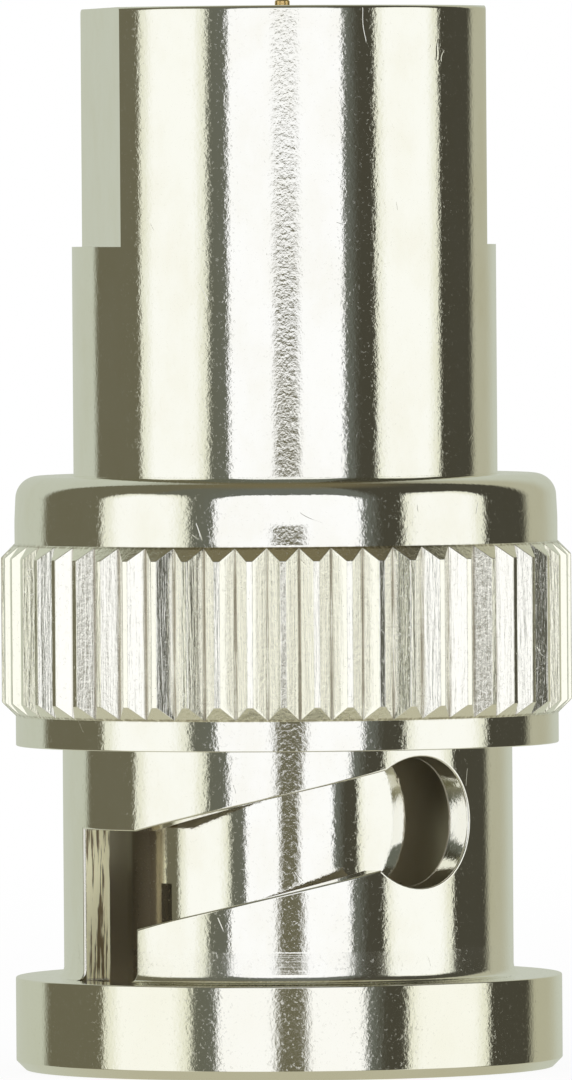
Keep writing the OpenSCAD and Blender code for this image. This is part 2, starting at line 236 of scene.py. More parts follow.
class StageSettings(bpy.types.PropertyGroup):
    """The camera, the light and the floor."""
    azimuth: angle("Camera azimuth", -11.5, "Turn of the camera round the adapter, from straight in front")
    distance: length("Camera distance", 430, "Distance of the camera from the adapter's axis")
    height: length("Camera height", 22, "Height of the camera")
    aim: length("Aim height", 13.4, "Height on the axis at the middle of the picture")
    frame_height: length("Framed height", 27.43, "Height that the picture takes in at the axis")
    roll: angle("Camera roll", 0.4, "Lean of the adapter to the left in the picture")
    side_panel: light("Side panels", (1.055, 1.055, 1.035), "Light of the two panels beside the adapter")
    side_edge: light("Side panels' edges", (0.86, 0.86, 0.74), "Light of the side panels along their edges")
    front_panel: light("Front panel", (1.08, 1.08, 1.13), "Light of the panel behind the camera")
    lens_share: factor("Camera's share", 1.0, "How much of the front panel the camera hides")
    gap_left: light("Left gap", (0.14, 0.142, 0.112), "Light of the dark gap before the left panel")
    gap_right: light("Right gap", (0.148, 0.156, 0.138), "Light of the dark gap before the right panel")
    gap_far_left: light("Far left gap", (0.152, 0.142, 0.094), "Light of the gap behind the left panel")
    gap_far_right: light("Far right gap", (0.065, 0.061, 0.045), "Light of the gap behind the right panel")
    backdrop: light("Backdrop", (0.555, 0.578, 0.49), "Light of the backdrop behind the adapter")
    backdrop_right: light("Backdrop's right", (0.47, 0.459, 0.348), "Light of the backdrop's right part")
    ceiling: light("Ceiling", (0.176, 0.151, 0.085), "Light of the dark ceiling")
    ground: light("Ground", (0.51, 0.49, 0.375), "Light that comes up from the table")
    plain: light("Plain light", (0.95, 0.95, 0.95), "Even light that falls on all but mirror surfaces")
    floor_radius: length("Floor radius", 150, "Radius of the pale floor")
    floor_gap: length("Floor gap", 0.02, "Gap between the adapter and the floor")
    floor_colour: colour("Floor colour", (0.9, 0.9, 0.9), "Colour of the floor in the shadow's sight")
    floor_glow: factor("Floor glow", 0.92, "Share of plain white in the floor as the camera sees it")


# Surfaces, gathered as patches of points and normals

def unit(vectors):
    """Vectors divided by their own lengths."""
    return vectors / np.maximum(np.linalg.norm(vectors, axis=-1, keepdims=True), 1e-30)


def turned_by(vectors, turn):
    """Vectors turned about the axis: x cos t - y sin t, x sin t + y cos t, z."""
    x, y, z = np.moveaxis(vectors, -1, 0)
    return np.stack((x * np.cos(turn) - y * np.sin(turn), x * np.sin(turn) + y * np.cos(turn), z), -1)


def at(radius, turn, height):
    """Points at a radius, an angle and a height: r cos t, r sin t, z."""
    radius, turn, height = np.broadcast_arrays(radius, turn, height)
    return np.stack((radius * np.cos(turn), radius * np.sin(turn), height), -1)


def outward(turns):
    """Unit vectors straight out from the axis at each angle."""
    return at(1.0, turns, 0.0)


def angle_of(points):
    """The angle about the axis at which each point stands."""
    return np.arctan2(points[..., 1], points[..., 0])


class Skin:
    """A piece's surface, gathered patch by patch and welded where the patches meet.

    Each face's corners keep the normals of their own patch, so an edge between two patches is crisp
    and the inside of one reflects as smoothly as the formula it came from.
    """

    def __init__(self):
        self.points = []
        self.normals = []
        self.faces = []
        self.count = 0

    def add(self, points, normals, rows):
        """Adds points with their normals, and faces as rows of indices, turned so that they face outwards."""
        normals = unit(np.broadcast_to(normals, points.shape).reshape(-1, 3))
        points = points.reshape(-1, 3)
        corners = points[rows]
        facing = np.cross(corners, np.roll(corners, -1, axis=1)).sum(axis=1)
        if (facing * normals[rows].sum(axis=1)).sum() < 0:
            rows = rows[:, ::-1]
        self.points.append(points)
        self.normals.append(normals)
        self.faces.append(rows + self.count)
        self.count += len(points)

    def patch(self, points, normals):
        """Adds a grid of points as quads between its rows and columns."""
        rows, columns = points.shape[:2]
        index = np.arange(rows * columns).reshape(rows, columns)
        quads = np.stack((index[:-1, :-1], index[:-1, 1:], index[1:, 1:], index[1:, :-1]), -1)
        self.add(points, normals, quads.reshape(-1, 4))

    def plate(self, points, normal):
        """Adds one flat face of many corners."""
        self.add(points, normal, np.arange(len(points))[None])

    def band(self, inner, outer, normal):
        """Fills the flat band between two closed rings of points, each in order of angle.

        Both rings' edges are put in one order by the angle of their middles, and each edge makes a triangle
        with the point that the other ring has come to by then.
        """
        start = angle_of(inner[0])
        one = (angle_of(inner) - start) % TURN
        one[0] = 0.0
        two = (angle_of(outer) - start) % TURN
        outer = np.roll(outer, -np.argmin(two), axis=0)
        two = np.sort(two)
        middle_one = (one + np.append(one[1:], TURN)) / 2
        middle_two = (two + np.append(two[1:], two[0] + TURN)) / 2
        from_one = np.arange(len(one))
        from_two = np.arange(len(two))
        reached_two = np.searchsorted(middle_two, middle_one) % len(two) + len(one)
        reached_one = np.searchsorted(middle_one, middle_two) % len(one)
        points = np.concatenate((inner, outer))
        self.add(points, normal, np.stack((from_one, (from_one + 1) % len(one), reached_two), -1))
        self.add(points, normal, np.stack((from_two + len(one), (from_two + 1) % len(two) + len(one),
                                           reached_one), -1))

    def repeat(self, turns):
        """Puts a turned copy of everything so far at each angle."""
        points, normals, faces, count = self.points, self.normals, self.faces, self.count
        self.points = [turned_by(p, turn) for turn in turns for p in points]
        self.normals = [turned_by(n, turn) for turn in turns for n in normals]
        self.faces = [rows + count * k for k in range(len(turns)) for rows in faces]
        self.count = count * len(turns)

    def build(self, name):
        """Welds points that agree, drops faces that shrank to nothing, and makes the object."""
        points = np.concatenate(self.points)
        normals = np.concatenate(self.normals)
        _, first, welded = np.unique(np.round(points / WELD).astype(np.int64), axis=0,
                                     return_index=True, return_inverse=True)
        welded = welded.ravel()
        vertices, directions, totals = [], [], []
        for rows in self.faces:
            corners = welded[rows]
            keep = corners != np.roll(corners, 1, axis=1)
            whole = keep.sum(axis=1) > 2
            keep = keep & whole[:, None]
            vertices.append(corners[keep])
            directions.append(normals[rows[keep]])
            totals.append(keep.sum(axis=1)[whole])
        vertices = np.concatenate(vertices)
        totals = np.concatenate(totals)
        mesh = bpy.data.meshes.new(name)
        mesh.vertices.add(len(first))
        mesh.vertices.foreach_set("co", points[first].ravel())
        mesh.loops.add(len(vertices))
        mesh.loops.foreach_set("vertex_index", vertices)
        mesh.polygons.add(len(totals))
        mesh.polygons.foreach_set("loop_start", np.cumsum(totals) - totals)
        mesh.update(calc_edges=True)
        mesh.normals_split_custom_set(np.concatenate(directions))
        piece = bpy.data.objects.new(name, mesh)
        bpy.context.scene.collection.objects.link(piece)
        return piece


def rounded(corners, closed=True):
    """Points and outward normals along a profile of straight sides with rounded corners.

    corners are rows of (across, along, radius), anticlockwise round the material. A corner becomes an arc
    tangent to both its sides: centre plus radius times a normal that turns from one side's to the other's.
    A corner of radius 0 gives its point twice, once with each side's normal.
    """
    corners = np.array(corners, float)
    place = corners[:, :2]
    points, normals = [], []
    for k, radius in enumerate(corners[:, 2]):
        before = place[k] - place[k - 1]
        after = place[(k + 1) % len(place)] - place[k]
        if not closed and k == 0:
            before = after
        if not closed and k == len(place) - 1:
            after = before
        one, two = unit(before), unit(after)
        turn = np.arctan2(one[0] * two[1] - one[1] * two[0], one @ two)
        if abs(turn) < STRAIGHT:
            points.append(place[k][None])
            normals.append(np.array([[one[1], -one[0]]]))
            continue
        slope = np.tan(abs(turn) / 2)
        shorter = min(np.linalg.norm(before), np.linalg.norm(after))
        reach = min(radius * slope, CORNER_SHARE * shorter)
        steps = int(np.clip(LEAST_STEPS + radius / STEP_LENGTH, LEAST_STEPS, MOST_STEPS)) if reach > 0 else 1
        bend = turn * np.linspace(0, 1, steps + 1)[:, None]
        normal = np.cos(bend) * np.array([one[1], -one[0]]) + np.sin(bend) * one
        size = np.sign(turn) * reach / slope
        centre = place[k] - one * reach - size * normal[0]
        points.append(centre + size * normal)
        normals.append(normal)
    if closed:
        points.append(points[0][:1])
        normals.append(normals[0][:1])
    return np.concatenate(points), np.concatenate(normals)


def open_profile(corners, first=0, last=None):
    """Points and normals along a profile with two open ends, without those before first and from last on."""
    points, normals = rounded(corners, closed=False)
    return points[first:last], normals[first:last]


def spun(stations, normals, turns):
    """Carries a profile and its normals round the axis: (r, z) at angle t goes to (r cos t, r sin t, z).

    turns is one row of angles, or a row for each point of the profile.
    """
    across, along = stations[:, :1], stations[:, 1:]
    return at(across, turns, along), at(normals[:, :1], turns, normals[:, 1:])


def half_width_angle(half_width, radius):
    """The angle of a straight-sided cut's wall at a radius: arcsin of half the width over it."""
    return np.arcsin(half_width / radius)


def across_cut(radius, half_width, steps):
    """Angles from one wall of a straight-sided cut to the other, a row for each radius."""
    return half_width_angle(half_width, radius)[:, None] * np.linspace(-1, 1, steps)


def beside_cut(radius, half_width, span, shares):
    """Angles from a cut's wall to the next cut, a span further round, a row for each radius."""
    side = half_width_angle(half_width, radius)[:, None]
    return side + shares * (span - 2 * side)


def ring_of_angles(count):
    """Angles once round, the last a full turn from the first."""
    return np.linspace(0, TURN, count + 1)


def turned_piece(name, corners, columns=COLUMNS, closed=True):
    """A piece turned on a lathe, from its profile's corners."""
    skin = Skin()
    skin.patch(*spun(*rounded(corners, closed), ring_of_angles(columns)))
    return skin.build(name)


# The coupling nut

GROOVE_STEPS = 10
FOOT_STEPS = 5
RAMP_STEPS = 34
CIRCLE_STEPS = 22
PLAIN_STEPS = 32
EDGE_STEPS = 3
SEARCH_STEPS = 4001

# In edge roundings: where a flat band starts from its corner, the lip's edge, the knurl's root and its end
BAND_START = 6
LIP_EDGE = 2
ROOT_SHARE = 0.4
SOFTEN = 0.25

# The crown's radius, in rear roundings
CROWN = 6


def track_runs(nut, radius):
    """The edge of one bayonet track on a cylinder, as runs of (points, wall normals), in order round it.

    The runs are the groove's top, the ramp's upper edge, the locking hole from there round to the ramp's
    lower edge, and that lower edge. The ramp is a helix: its height grows in step with the angle. The hole is
    a straight bore across the axis, so its points lie at angle turn + arcsin(R cos a / radius).
    """
    slope = nut.ramp_rise / nut.ramp_turn
    half = nut.ramp_width / 2
    side = half_width_angle(nut.groove / 2, radius)

    def on_hole(a):
        return nut.ramp_turn + np.arcsin(nut.hole * np.cos(a) / radius)

    search = np.linspace(np.pi / 2, np.pi, SEARCH_STEPS)
    ramp = nut.ramp_start + slope * on_hole(search)
    rise = nut.hole * np.sin(search)
    upper_end = np.interp(0, ramp + half - nut.hole_height - rise, search)
    lower_end = np.interp(0, nut.hole_height - rise - ramp + half, search)
    corner = (nut.groove_top - half - nut.ramp_start) / slope

    top = np.linspace(-side, corner, GROOVE_STEPS)
    upper = np.linspace(corner, on_hole(upper_end), RAMP_STEPS)
    circle = np.concatenate((np.linspace(upper_end, 0, CIRCLE_STEPS),
                             np.linspace(0, -lower_end, CIRCLE_STEPS)[1:]))
    lower = np.linspace(on_hole(lower_end), side, RAMP_STEPS)

    def helix_normal(t):
        return unit(at(0.0, t, 1.0) - slope / radius * outward(t + np.pi / 2))

    bore_side = outward(nut.ramp_turn + np.pi / 2)
    hole_normal = -(np.cos(circle)[:, None] * bore_side + np.sin(circle)[:, None] * UP)
    return [
        (at(radius, top, nut.groove_top), np.tile(-UP, (len(top), 1))),
        (at(radius, upper, nut.ramp_start + half + slope * upper), -helix_normal(upper)),
        (at(radius, on_hole(circle), nut.hole_height + nut.hole * np.sin(circle)), hole_normal),
        (at(radius, lower, nut.ramp_start - half + slope * lower), helix_normal(lower)),
    ]


def foot_fillet(nut):
    """The fillet at the neck's foot, from the flange up: its normals' angles, and its radii and heights."""
    bend = np.linspace(np.pi / 2, 0, FOOT_STEPS)
    across = nut.neck + nut.neck_fillet * (1 - np.cos(bend))
    along = nut.flange_top + nut.neck_fillet * (1 - np.sin(bend))
    return bend, across, along


def side_run(nut, sign, top):
    """One side wall's outer edge, up the neck's fillet and the neck to a height, with the skin's normals."""
    bend, across, along = (np.append(*pair) for pair in zip(foot_fillet(nut), (0, nut.neck, top)))
    turn = sign * half_width_angle(nut.groove / 2, across)
    wall = np.tile([0.0, -sign, 0.0], (len(turn), 1))
    return at(across, turn, along), wall, at(np.cos(bend), turn, np.sin(bend))


def solve(*pairs):
    """The vector whose product with each given vector is the given number."""
    matrix = np.stack(np.broadcast_arrays(*[p[0] for p in pairs]), -2)
    values = np.stack(np.broadcast_arrays(*[p[1] for p in pairs]), -1)
    return np.linalg.solve(matrix, values[..., None])[..., 0]


def round_the_edge(runs, radius):
    """Rounds the edge between a window's walls and the skin round it.

    runs are (edge points, wall normals, skin normals, share of the radius), end to start. A ball of the
    radius rolls along inside both surfaces: its centre is the edge less radius times x, where x has a product
    of 1 with both normals. Where two walls meet, x has a product of 1 with all three. Returns a grid for each
    run, from the skin in its first row to the wall in its last, with the grid's normals.
    """
    grids = []
    for k, (edge, wall, skin, share) in enumerate(runs):
        along = unit(np.gradient(edge, axis=0))
        one = np.ones(len(edge))
        inset = solve((wall, one), (along, 0 * one), (skin, one))
        touch = wall.copy()
        tilt = (wall * skin).sum(axis=-1)
        for end, other in ((0, k - 1), (-1, k + 1)):
            if 0 <= other < len(runs):
                next_wall = runs[other][1][-1 - end if end else -1]
                mean = (wall[end] @ skin[end] + next_wall @ skin[end]) / 2
                inset[end] = solve((wall[end], 1.0), (next_wall, 1.0), (skin[end], 1.0))
                touch[end] = solve((wall[end], 1.0), (next_wall, 1.0), (skin[end], mean))
                tilt[end] = mean
        size = (radius * share)[:, None]
        centre = edge - size * inset
        apart = np.arccos(tilt)[:, None]
        steps = np.linspace(0, 1, EDGE_STEPS + 1)
        ball = [(np.sin((1 - s) * apart) * skin + np.sin(s * apart) * touch) / np.sin(apart) for s in steps]
        shade = [(1 - s) * skin + s * wall for s in steps]
        grids.append((centre + size * np.stack(ball), np.stack(shade)))
    return grids


def shares_of(turns):
    """How far each angle is on the way from the first to the last, from 0 to 1."""
    return (turns - turns[0]) / (turns[-1] - turns[0])


def nut_track(nut):
    """Half of the nut below its collar, from one entry groove to the next: flange, neck, bore and track.

    Angles run from the middle of the groove. Everything is a grid between matching columns: the columns of
    the lower part follow the track's lower edge, those of the upper part its upper edge.
    """
    skin = Skin()
    half = nut.groove / 2
    floor = nut.groove_floor
    foot_top = nut.flange_top + nut.neck_fillet

    # The track's edge, rounded outside and crisp inside
    outer_runs = track_runs(nut, nut.neck)
    inner_runs = track_runs(nut, nut.bore)
    left, left_wall, left_skin = side_run(nut, -1, nut.groove_top)
    right, right_wall, right_skin = side_run(nut, 1, outer_runs[3][0][-1][2])
    swell = np.append(np.sin(np.linspace(0, np.pi / 2, FOOT_STEPS)), 1.0)
    runs = [(left, left_wall, left_skin, swell)]
    runs += [(edge, wall, unit(edge * (1, 1, 0)), np.ones(len(edge))) for edge, wall in outer_runs]
    runs += [(right[::-1], right_wall[::-1], right_skin[::-1], swell[::-1])]
    grids = round_the_edge(runs, nut.track_edge)
    for points, normals in grids:
        skin.patch(points, normals)
    for (points, _), (_, outer_wall), (inner, inner_wall) in zip(grids[1:-1], outer_runs, inner_runs):
        skin.patch(np.stack((points[-1], inner)), np.stack((outer_wall, inner_wall)))
    rim = [points[0] for points, _ in grids]

    # Profiles of the bore's mouth and of the flange
    mouth, mouth_normals = open_profile([
        (nut.bore, nut.groove_top, 0), (nut.bore, nut.mouth, nut.edge),
        (nut.bore + nut.mouth, 0, nut.edge), (floor, 0, 0)], 1)
    flange, flange_normals = open_profile([
        (floor, 0, 0), (nut.flange - nut.flange_chamfer, 0, nut.edge),
        (nut.flange, nut.flange_chamfer, nut.edge), (nut.flange, nut.flange_top, nut.edge),
        (nut.neck + nut.neck_fillet, nut.flange_top, 0)])

    # The plain neck behind the hole, split into an upper and a lower part by a sloping row
    def lower_edge(ramp, hole, corner):
        plain = np.linspace(angle_of(hole[CIRCLE_STEPS - 1]), angle_of(corner) + HALF_TURN, PLAIN_STEPS)
        height = np.linspace(hole[CIRCLE_STEPS - 1][2], corner[2], PLAIN_STEPS)
        radius = np.hypot(*corner[:2])
        split = at(radius, plain, height)
        split[0] = hole[CIRCLE_STEPS - 1]
        split[-1] = turned_by(corner, HALF_TURN)
        return np.concatenate((ramp[::-1], hole[:CIRCLE_STEPS - 1:-1], split)), split

    low, split = lower_edge(rim[4], rim[3], rim[1][0])
    high = np.concatenate((rim[1], rim[2][1:], rim[3][1:CIRCLE_STEPS], split[1:]))
    low_turns = np.unwrap(angle_of(low))
    high_turns = np.unwrap(angle_of(high))
    low_shares = shares_of(low_turns)

    # Neck, from its foot up to the track and from the track up to the collar
    start = at(nut.neck, low_turns, foot_top)
    start[0] = rim[5][1]
    start[-1] = turned_by(rim[0][-2], HALF_TURN)
    skin.patch(np.stack((start, low)), outward(low_turns))
    under_collar, under_normals = spun(*open_profile([
        (nut.neck, nut.groove_top, 0), (nut.neck, nut.neck_top, nut.edge),
        (nut.collar - BAND_START * nut.edge, nut.neck_top, 0)], 1, -1), high_turns)
    skin.patch(np.concatenate((high[None], under_collar)),
               np.concatenate((outward(high_turns)[None], under_normals)))

    # Fillet at the neck's foot
    bend, across, along = foot_fillet(nut)
    first = angle_of(rim[5][:0:-1])[:, None]
    last = angle_of(rim[0][:-1])[:, None] + HALF_TURN
    turns = first + (last - first) * low_shares
    fillet = at(across[:, None], turns, along[:, None])
    fillet[:, 0] = rim[5][:0:-1]
    fillet[:, -1] = turned_by(rim[0][:-1], HALF_TURN)
    skin.patch(fillet, at(np.cos(bend)[:, None], turns, np.sin(bend)[:, None]))

    # Flange, all round, and the groove's floor through it
    skin.patch(*spun(flange, flange_normals, beside_cut(flange[:, 0], half, HALF_TURN, low_shares)))
    skin.patch(*spun(flange, flange_normals, across_cut(flange[:, 0], half, GROOVE_STEPS)))
    radii = np.array([nut.neck + nut.neck_fillet, floor])
    skin.patch(at(radii[:, None], across_cut(radii, half, GROOVE_STEPS), nut.flange_top), UP)
    turns = across_cut(np.array([floor, floor]), half, GROOVE_STEPS)
    skin.patch(at(floor, turns, np.array([[nut.flange_top], [0.0]])), -outward(turns))

    # Bore, with its mouth, below and above the track
    inner = [edge for edge, _ in inner_runs]
    bore_low, bore_split = lower_edge(inner[3], inner[2], inner[0][0])
    bore_high = np.concatenate((inner[0], inner[1][1:], inner[2][1:CIRCLE_STEPS], bore_split[1:]))
    bore_turns = np.unwrap(angle_of(bore_low))
    shares = shares_of(bore_turns)
    turns = beside_cut(mouth[:, 0], half, HALF_TURN, shares)
    turns[-1] = beside_cut(mouth[-1:, 0], half, HALF_TURN, low_shares)[0]
    mouth_points, mouth_directions = spun(mouth, mouth_normals, turns)
    skin.patch(np.concatenate((bore_low[None], mouth_points)),
               np.concatenate((-outward(bore_turns)[None], mouth_directions)))
    bore_high_turns = np.unwrap(angle_of(bore_high))
    chamber, chamber_normals = spun(*open_profile([
        (nut.lip + BAND_START * nut.edge, nut.end, 0), (nut.lip, nut.end, LIP_EDGE * nut.edge),
        (nut.lip, nut.lip_under, 0), (nut.chamber, nut.lip_under, 0), (nut.chamber, nut.chamber_floor, 0),
        (nut.bore, nut.chamber_floor, nut.edge), (nut.bore, nut.hole_height + nut.hole, 0)], 1, -1),
        bore_high_turns)
    skin.patch(np.concatenate((chamber, bore_high[None])),
               np.concatenate((chamber_normals, -outward(bore_high_turns)[None])))

    # The groove's two side walls, each one flat face
    sides = ((-1, grids[0][0][-1], inner[0][0]), (1, grids[-1][0][-1][::-1], inner[3][-1]))
    for sign, outer, corner in sides:
        chain = at(mouth[:, 0], sign * half_width_angle(half, mouth[:, 0]), mouth[:, 1])
        ledge = at(floor, sign * half_width_angle(half, floor), nut.flange_top)
        skin.plate(np.concatenate((corner[None], chain, ledge[None], outer)), (0.0, -sign, 0.0))
    return skin, under_collar[-1], chamber[0]


def make_nut(nut):
    """The coupling nut: bayonet tracks below, collars and knurl above, joined by two flat bands."""
    skin, under_collar, end_face = nut_track(nut)
    skin.repeat((nut.entry, nut.entry + HALF_TURN))

    # One tooth of the knurl, as a profile across the axis, repeated round it
    half = HALF_TURN / nut.teeth
    land = np.arcsin(nut.land / 2 / nut.crest)
    root_edge = ROOT_SHARE * nut.edge
    tooth = [(nut.root * np.cos(half), -nut.root * np.sin(half), root_edge),
             (nut.crest * np.cos(land), -nut.crest * np.sin(land), nut.edge),
             (nut.crest * np.cos(land), nut.crest * np.sin(land), nut.edge),
             (nut.root * np.cos(half), nut.root * np.sin(half), root_edge)]
    before = turned_by(np.array([*tooth[2][:2], 0.0]), -2 * half)[:2]
    after = turned_by(np.array([*tooth[1][:2], 0.0]), 2 * half)[:2]
    outline, facing = open_profile([(*before, 0), *tooth, (*after, 0)])
    turn = np.arctan2(outline[:, 1], outline[:, 0])
    own = (turn > -half - STRAIGHT) & (turn < half - STRAIGHT)
    middles = nut.entry + nut.knurl_turn + 2 * half * np.arange(nut.teeth)

    def all_round(profile):
        profile = np.hstack((profile[own], np.zeros((own.sum(), 1))))
        ring = np.concatenate([turned_by(profile, middle) for middle in middles])
        return np.append(ring, ring[:1], 0)

    around, facing = all_round(outline), all_round(facing)
    turns = angle_of(around)
    radius = np.hypot(around[:, 0], around[:, 1])

    # Collars and the rounded rear edge
    front, front_normals = spun(*open_profile([
        (nut.collar - BAND_START * nut.edge, nut.neck_top, 0), (nut.collar, nut.neck_top, nut.edge),
        (nut.collar, nut.knurl_foot, 0)], 1), turns)
    skin.patch(front, front_normals)
    drawn_in = nut.collar - (nut.end - nut.rear_crown) * np.tan(nut.rear_lean)
    rear, rear_normals = spun(*open_profile([
        (nut.collar, nut.knurl_top, 0), (nut.collar, nut.rear_crown, CROWN * nut.rear_round),
        (drawn_in, nut.end, nut.rear_round), (nut.lip, nut.end, 0)], 0, -1), turns)
    skin.patch(rear, rear_normals)

    # The knurl: each column runs up its end chamfer, up the tooth, and down the other chamfer
    soften = SOFTEN * nut.edge
    rise = radius - nut.collar
    cone = at(radius - soften, turns, rise - soften)
    tooth_foot = around + (rise + 2 * soften)[:, None] * UP
    for level, way in ((nut.knurl_foot, 1), (nut.knurl_top, -1)):
        mirror = np.array([1, 1, way])
        base = level * UP
        leaning = unit(outward(turns) - way * UP)
        skin.patch(np.stack((at(nut.collar, turns, level), cone * mirror + base, tooth_foot * mirror + base)),
                   np.stack((leaning, leaning, facing)))
    tooth_top = tooth_foot * (1, 1, -1) + nut.knurl_top * UP
    skin.patch(np.stack((tooth_foot + nut.knurl_foot * UP, tooth_top)), facing)

    # The two flat bands
    def whole(ring):
        return np.concatenate([turned_by(ring[:-1], t) for t in (nut.entry, nut.entry + HALF_TURN)])

    skin.band(whole(under_collar), front[0][:-1], -UP)
    skin.band(whole(end_face), rear[-1][:-1], UP)
    return skin.build("nut")


# The body

FLAT_STEPS = 12
ARC_STEPS = 60
CORNER_STEPS = 3

# Across one pitch of the thread: the share of the pitch, the reach towards the crest, and the normal's tilt
THREAD_WALLS = np.array([
    (0, 0, 0), (0.0625, 0, 0), (0.0625, 0, 1), (0.375, 1, 1), (0.375, 1, 0),
    (0.625, 1, 0), (0.625, 1, -1), (0.9375, 0, -1), (0.9375, 0, 0)])
FLANK = np.radians(60)

# How much of a pitch the thread takes to fade in, and how fast the rim's rounding fades out of the flats
THREAD_FADE = 0.4
RIM_FADE = 1e3


def flatted_ring(radius, flat, edge, height):
    """A circle cut by two wrench flats, with the corners between them rounded, and its normals.

    The corner's ball has its centre at flat - edge across, on the circle of radius - edge. The flat's points
    are spread evenly between the two centres, the corner's by angle, and the rest by angle up to the other
    flat.
    """
    inset = np.sqrt((radius - edge) ** 2 - (flat - edge) ** 2)
    lean = np.arctan2(inset, flat - edge)
    bend = np.linspace(0, lean, CORNER_STEPS + 1)
    bent = np.stack((np.cos(bend), np.sin(bend)), -1)
    corner = np.array((flat - edge, inset)) + edge * bent
    arc = np.linspace(lean, HALF_TURN - lean, ARC_STEPS + 1)
    around = np.stack((np.cos(arc), np.sin(arc)), -1)
    along = np.linspace(-inset, inset, FLAT_STEPS + 1)
    face = np.stack((np.full_like(along, flat), along), -1)
    mirror = (-1, 1)
    half = np.concatenate((face, corner, radius * around, corner[::-1] * mirror))
    facing = np.concatenate((np.tile([1.0, 0.0], (len(face), 1)), bent, around, bent[::-1] * mirror))
    whole = np.concatenate((half, -half, half[:1]))
    normals = np.concatenate((facing, -facing, facing[:1]))
    level = np.full((len(whole), 1), height)
    return np.hstack((whole, level)), np.hstack((normals, np.zeros_like(level)))


def thread_patch(skin, body, turns, low, high):
    """The socket's thread, on a grid whose rows follow the helix: height = low + pitch (s + angle / turn).

    Across one pitch the wall runs along the major radius, up a flank, along the crest and down the other
    flank. Rows beyond either end lie on it and fall together, and the thread fades out there. A whole pitch
    stands over at either end, so that the wall is closed at every angle, also where it is below zero.
    """
    share, reach, tilt = THREAD_WALLS.T
    pitches = np.arange(-1, np.ceil((high - low) / body.pitch) + 1)
    steps = (pitches[:, None] + share).ravel()
    height = np.clip(low + body.pitch * (steps[:, None] + turns / TURN), low, high)
    fade = np.clip(np.minimum(height - low, high - height) / (THREAD_FADE * body.pitch), 0, 1)
    ridge = np.tile(reach, len(pitches))[:, None] * fade * (body.thread - body.minor)
    slope = np.tile(tilt, len(pitches))[:, None] * np.tan(FLANK)
    leaning = -outward(turns) + slope[..., None] * -UP * (fade[..., None] > 0)
    skin.patch(at(body.thread - ridge, turns, height), leaning)


def make_body(body):
    """The body: shoulder and barrel with two wrench flats outside, seats and a threaded socket inside."""
    skin = Skin()
    edge = body.edge
    turns = np.unwrap(angle_of(flatted_ring(body.barrel, body.flat, edge, 0.0)[0]))

    # Outside, up to the ledge
    skin.patch(*spun(*open_profile([
        (body.sleeve_seat, body.hub_foot, 0), (body.hub, body.hub_foot, edge),
        (body.hub, body.shoulder_foot, 0), (body.shoulder, body.shoulder_foot, edge),
        (body.shoulder, body.shoulder_top, edge), (body.barrel, body.shoulder_top, edge),
        (body.barrel, body.ledge, 0)]), turns))

    # Ledge, with a fillet against each flat, then the flats and the barrel between them
    outer = at(body.barrel, turns, body.ledge)
    inner, facing = flatted_ring(body.barrel, body.flat, edge, body.ledge)
    room = np.minimum(np.linalg.norm(outer - inner, axis=-1, keepdims=True), body.ledge_fillet)
    bend = np.linspace(0, np.pi / 2, CORNER_STEPS + 2)[:, None, None]
    fillet = inner + room * ((1 - np.sin(bend)) * facing + (1 - np.cos(bend)) * UP)
    skin.patch(np.stack((outer, fillet[0])), UP)
    skin.patch(fillet, np.sin(bend) * facing + np.cos(bend) * UP)

    # The rim's rounding leans the barrel's normals, and fades out of the flats' corners
    rim, rim_normals = open_profile([
        (body.barrel, body.ledge, 0), (body.barrel, body.rim, body.rim_round),
        (body.thread + body.mouth, body.rim, 0)], 1, -1)
    rings = [flatted_ring(radius, body.flat, edge, level) for radius, level in rim]
    points = np.stack([ring for ring, _ in rings])
    normals = np.stack([ring_normals for _, ring_normals in rings])
    off_round = np.abs(normals[..., :1] - outward(angle_of(points))[..., :1])
    leaning = normals * rim_normals[:, None, :1] + UP * rim_normals[:, None, 1:]
    normals = normals + np.clip(1 - off_round * RIM_FADE, 0, 1) * (leaning - normals)
    skin.patch(np.concatenate((fillet[-1:], points)), np.concatenate((facing[None], normals)))

    # Top face, mouth, thread, and the seats below it
    mouth, mouth_normals = spun(*open_profile([
        (body.barrel, body.rim, 0), (body.thread + body.mouth, body.rim, edge),
        (body.thread, body.rim - body.mouth, 0), (body.thread, body.socket_floor, 0)], 1, -2), turns)
    upward = np.broadcast_to(UP, points[-1:].shape)
    skin.patch(np.concatenate((points[-1:], mouth)), np.concatenate((upward, mouth_normals)))
    thread_patch(skin, body, turns, body.socket_floor, body.rim - body.mouth)
    skin.patch(*spun(*open_profile([
        (body.thread, body.rim, 0), (body.thread, body.socket_floor, 0),
        (body.bush_seat, body.socket_floor, 0), (body.bush_seat, body.bush_foot, 0),
        (body.core, body.bush_foot, edge), (body.core, body.sleeve_end, edge),
        (body.sleeve_seat, body.sleeve_end, 0), (body.sleeve_seat, body.hub_foot, 0),
        (body.hub, body.hub_foot, 0)], 2, -2), turns))
    return skin.build("body")


# The slotted sleeve

SLITS = 4
SLIT_STEPS = 5
FINGER_STEPS = 45


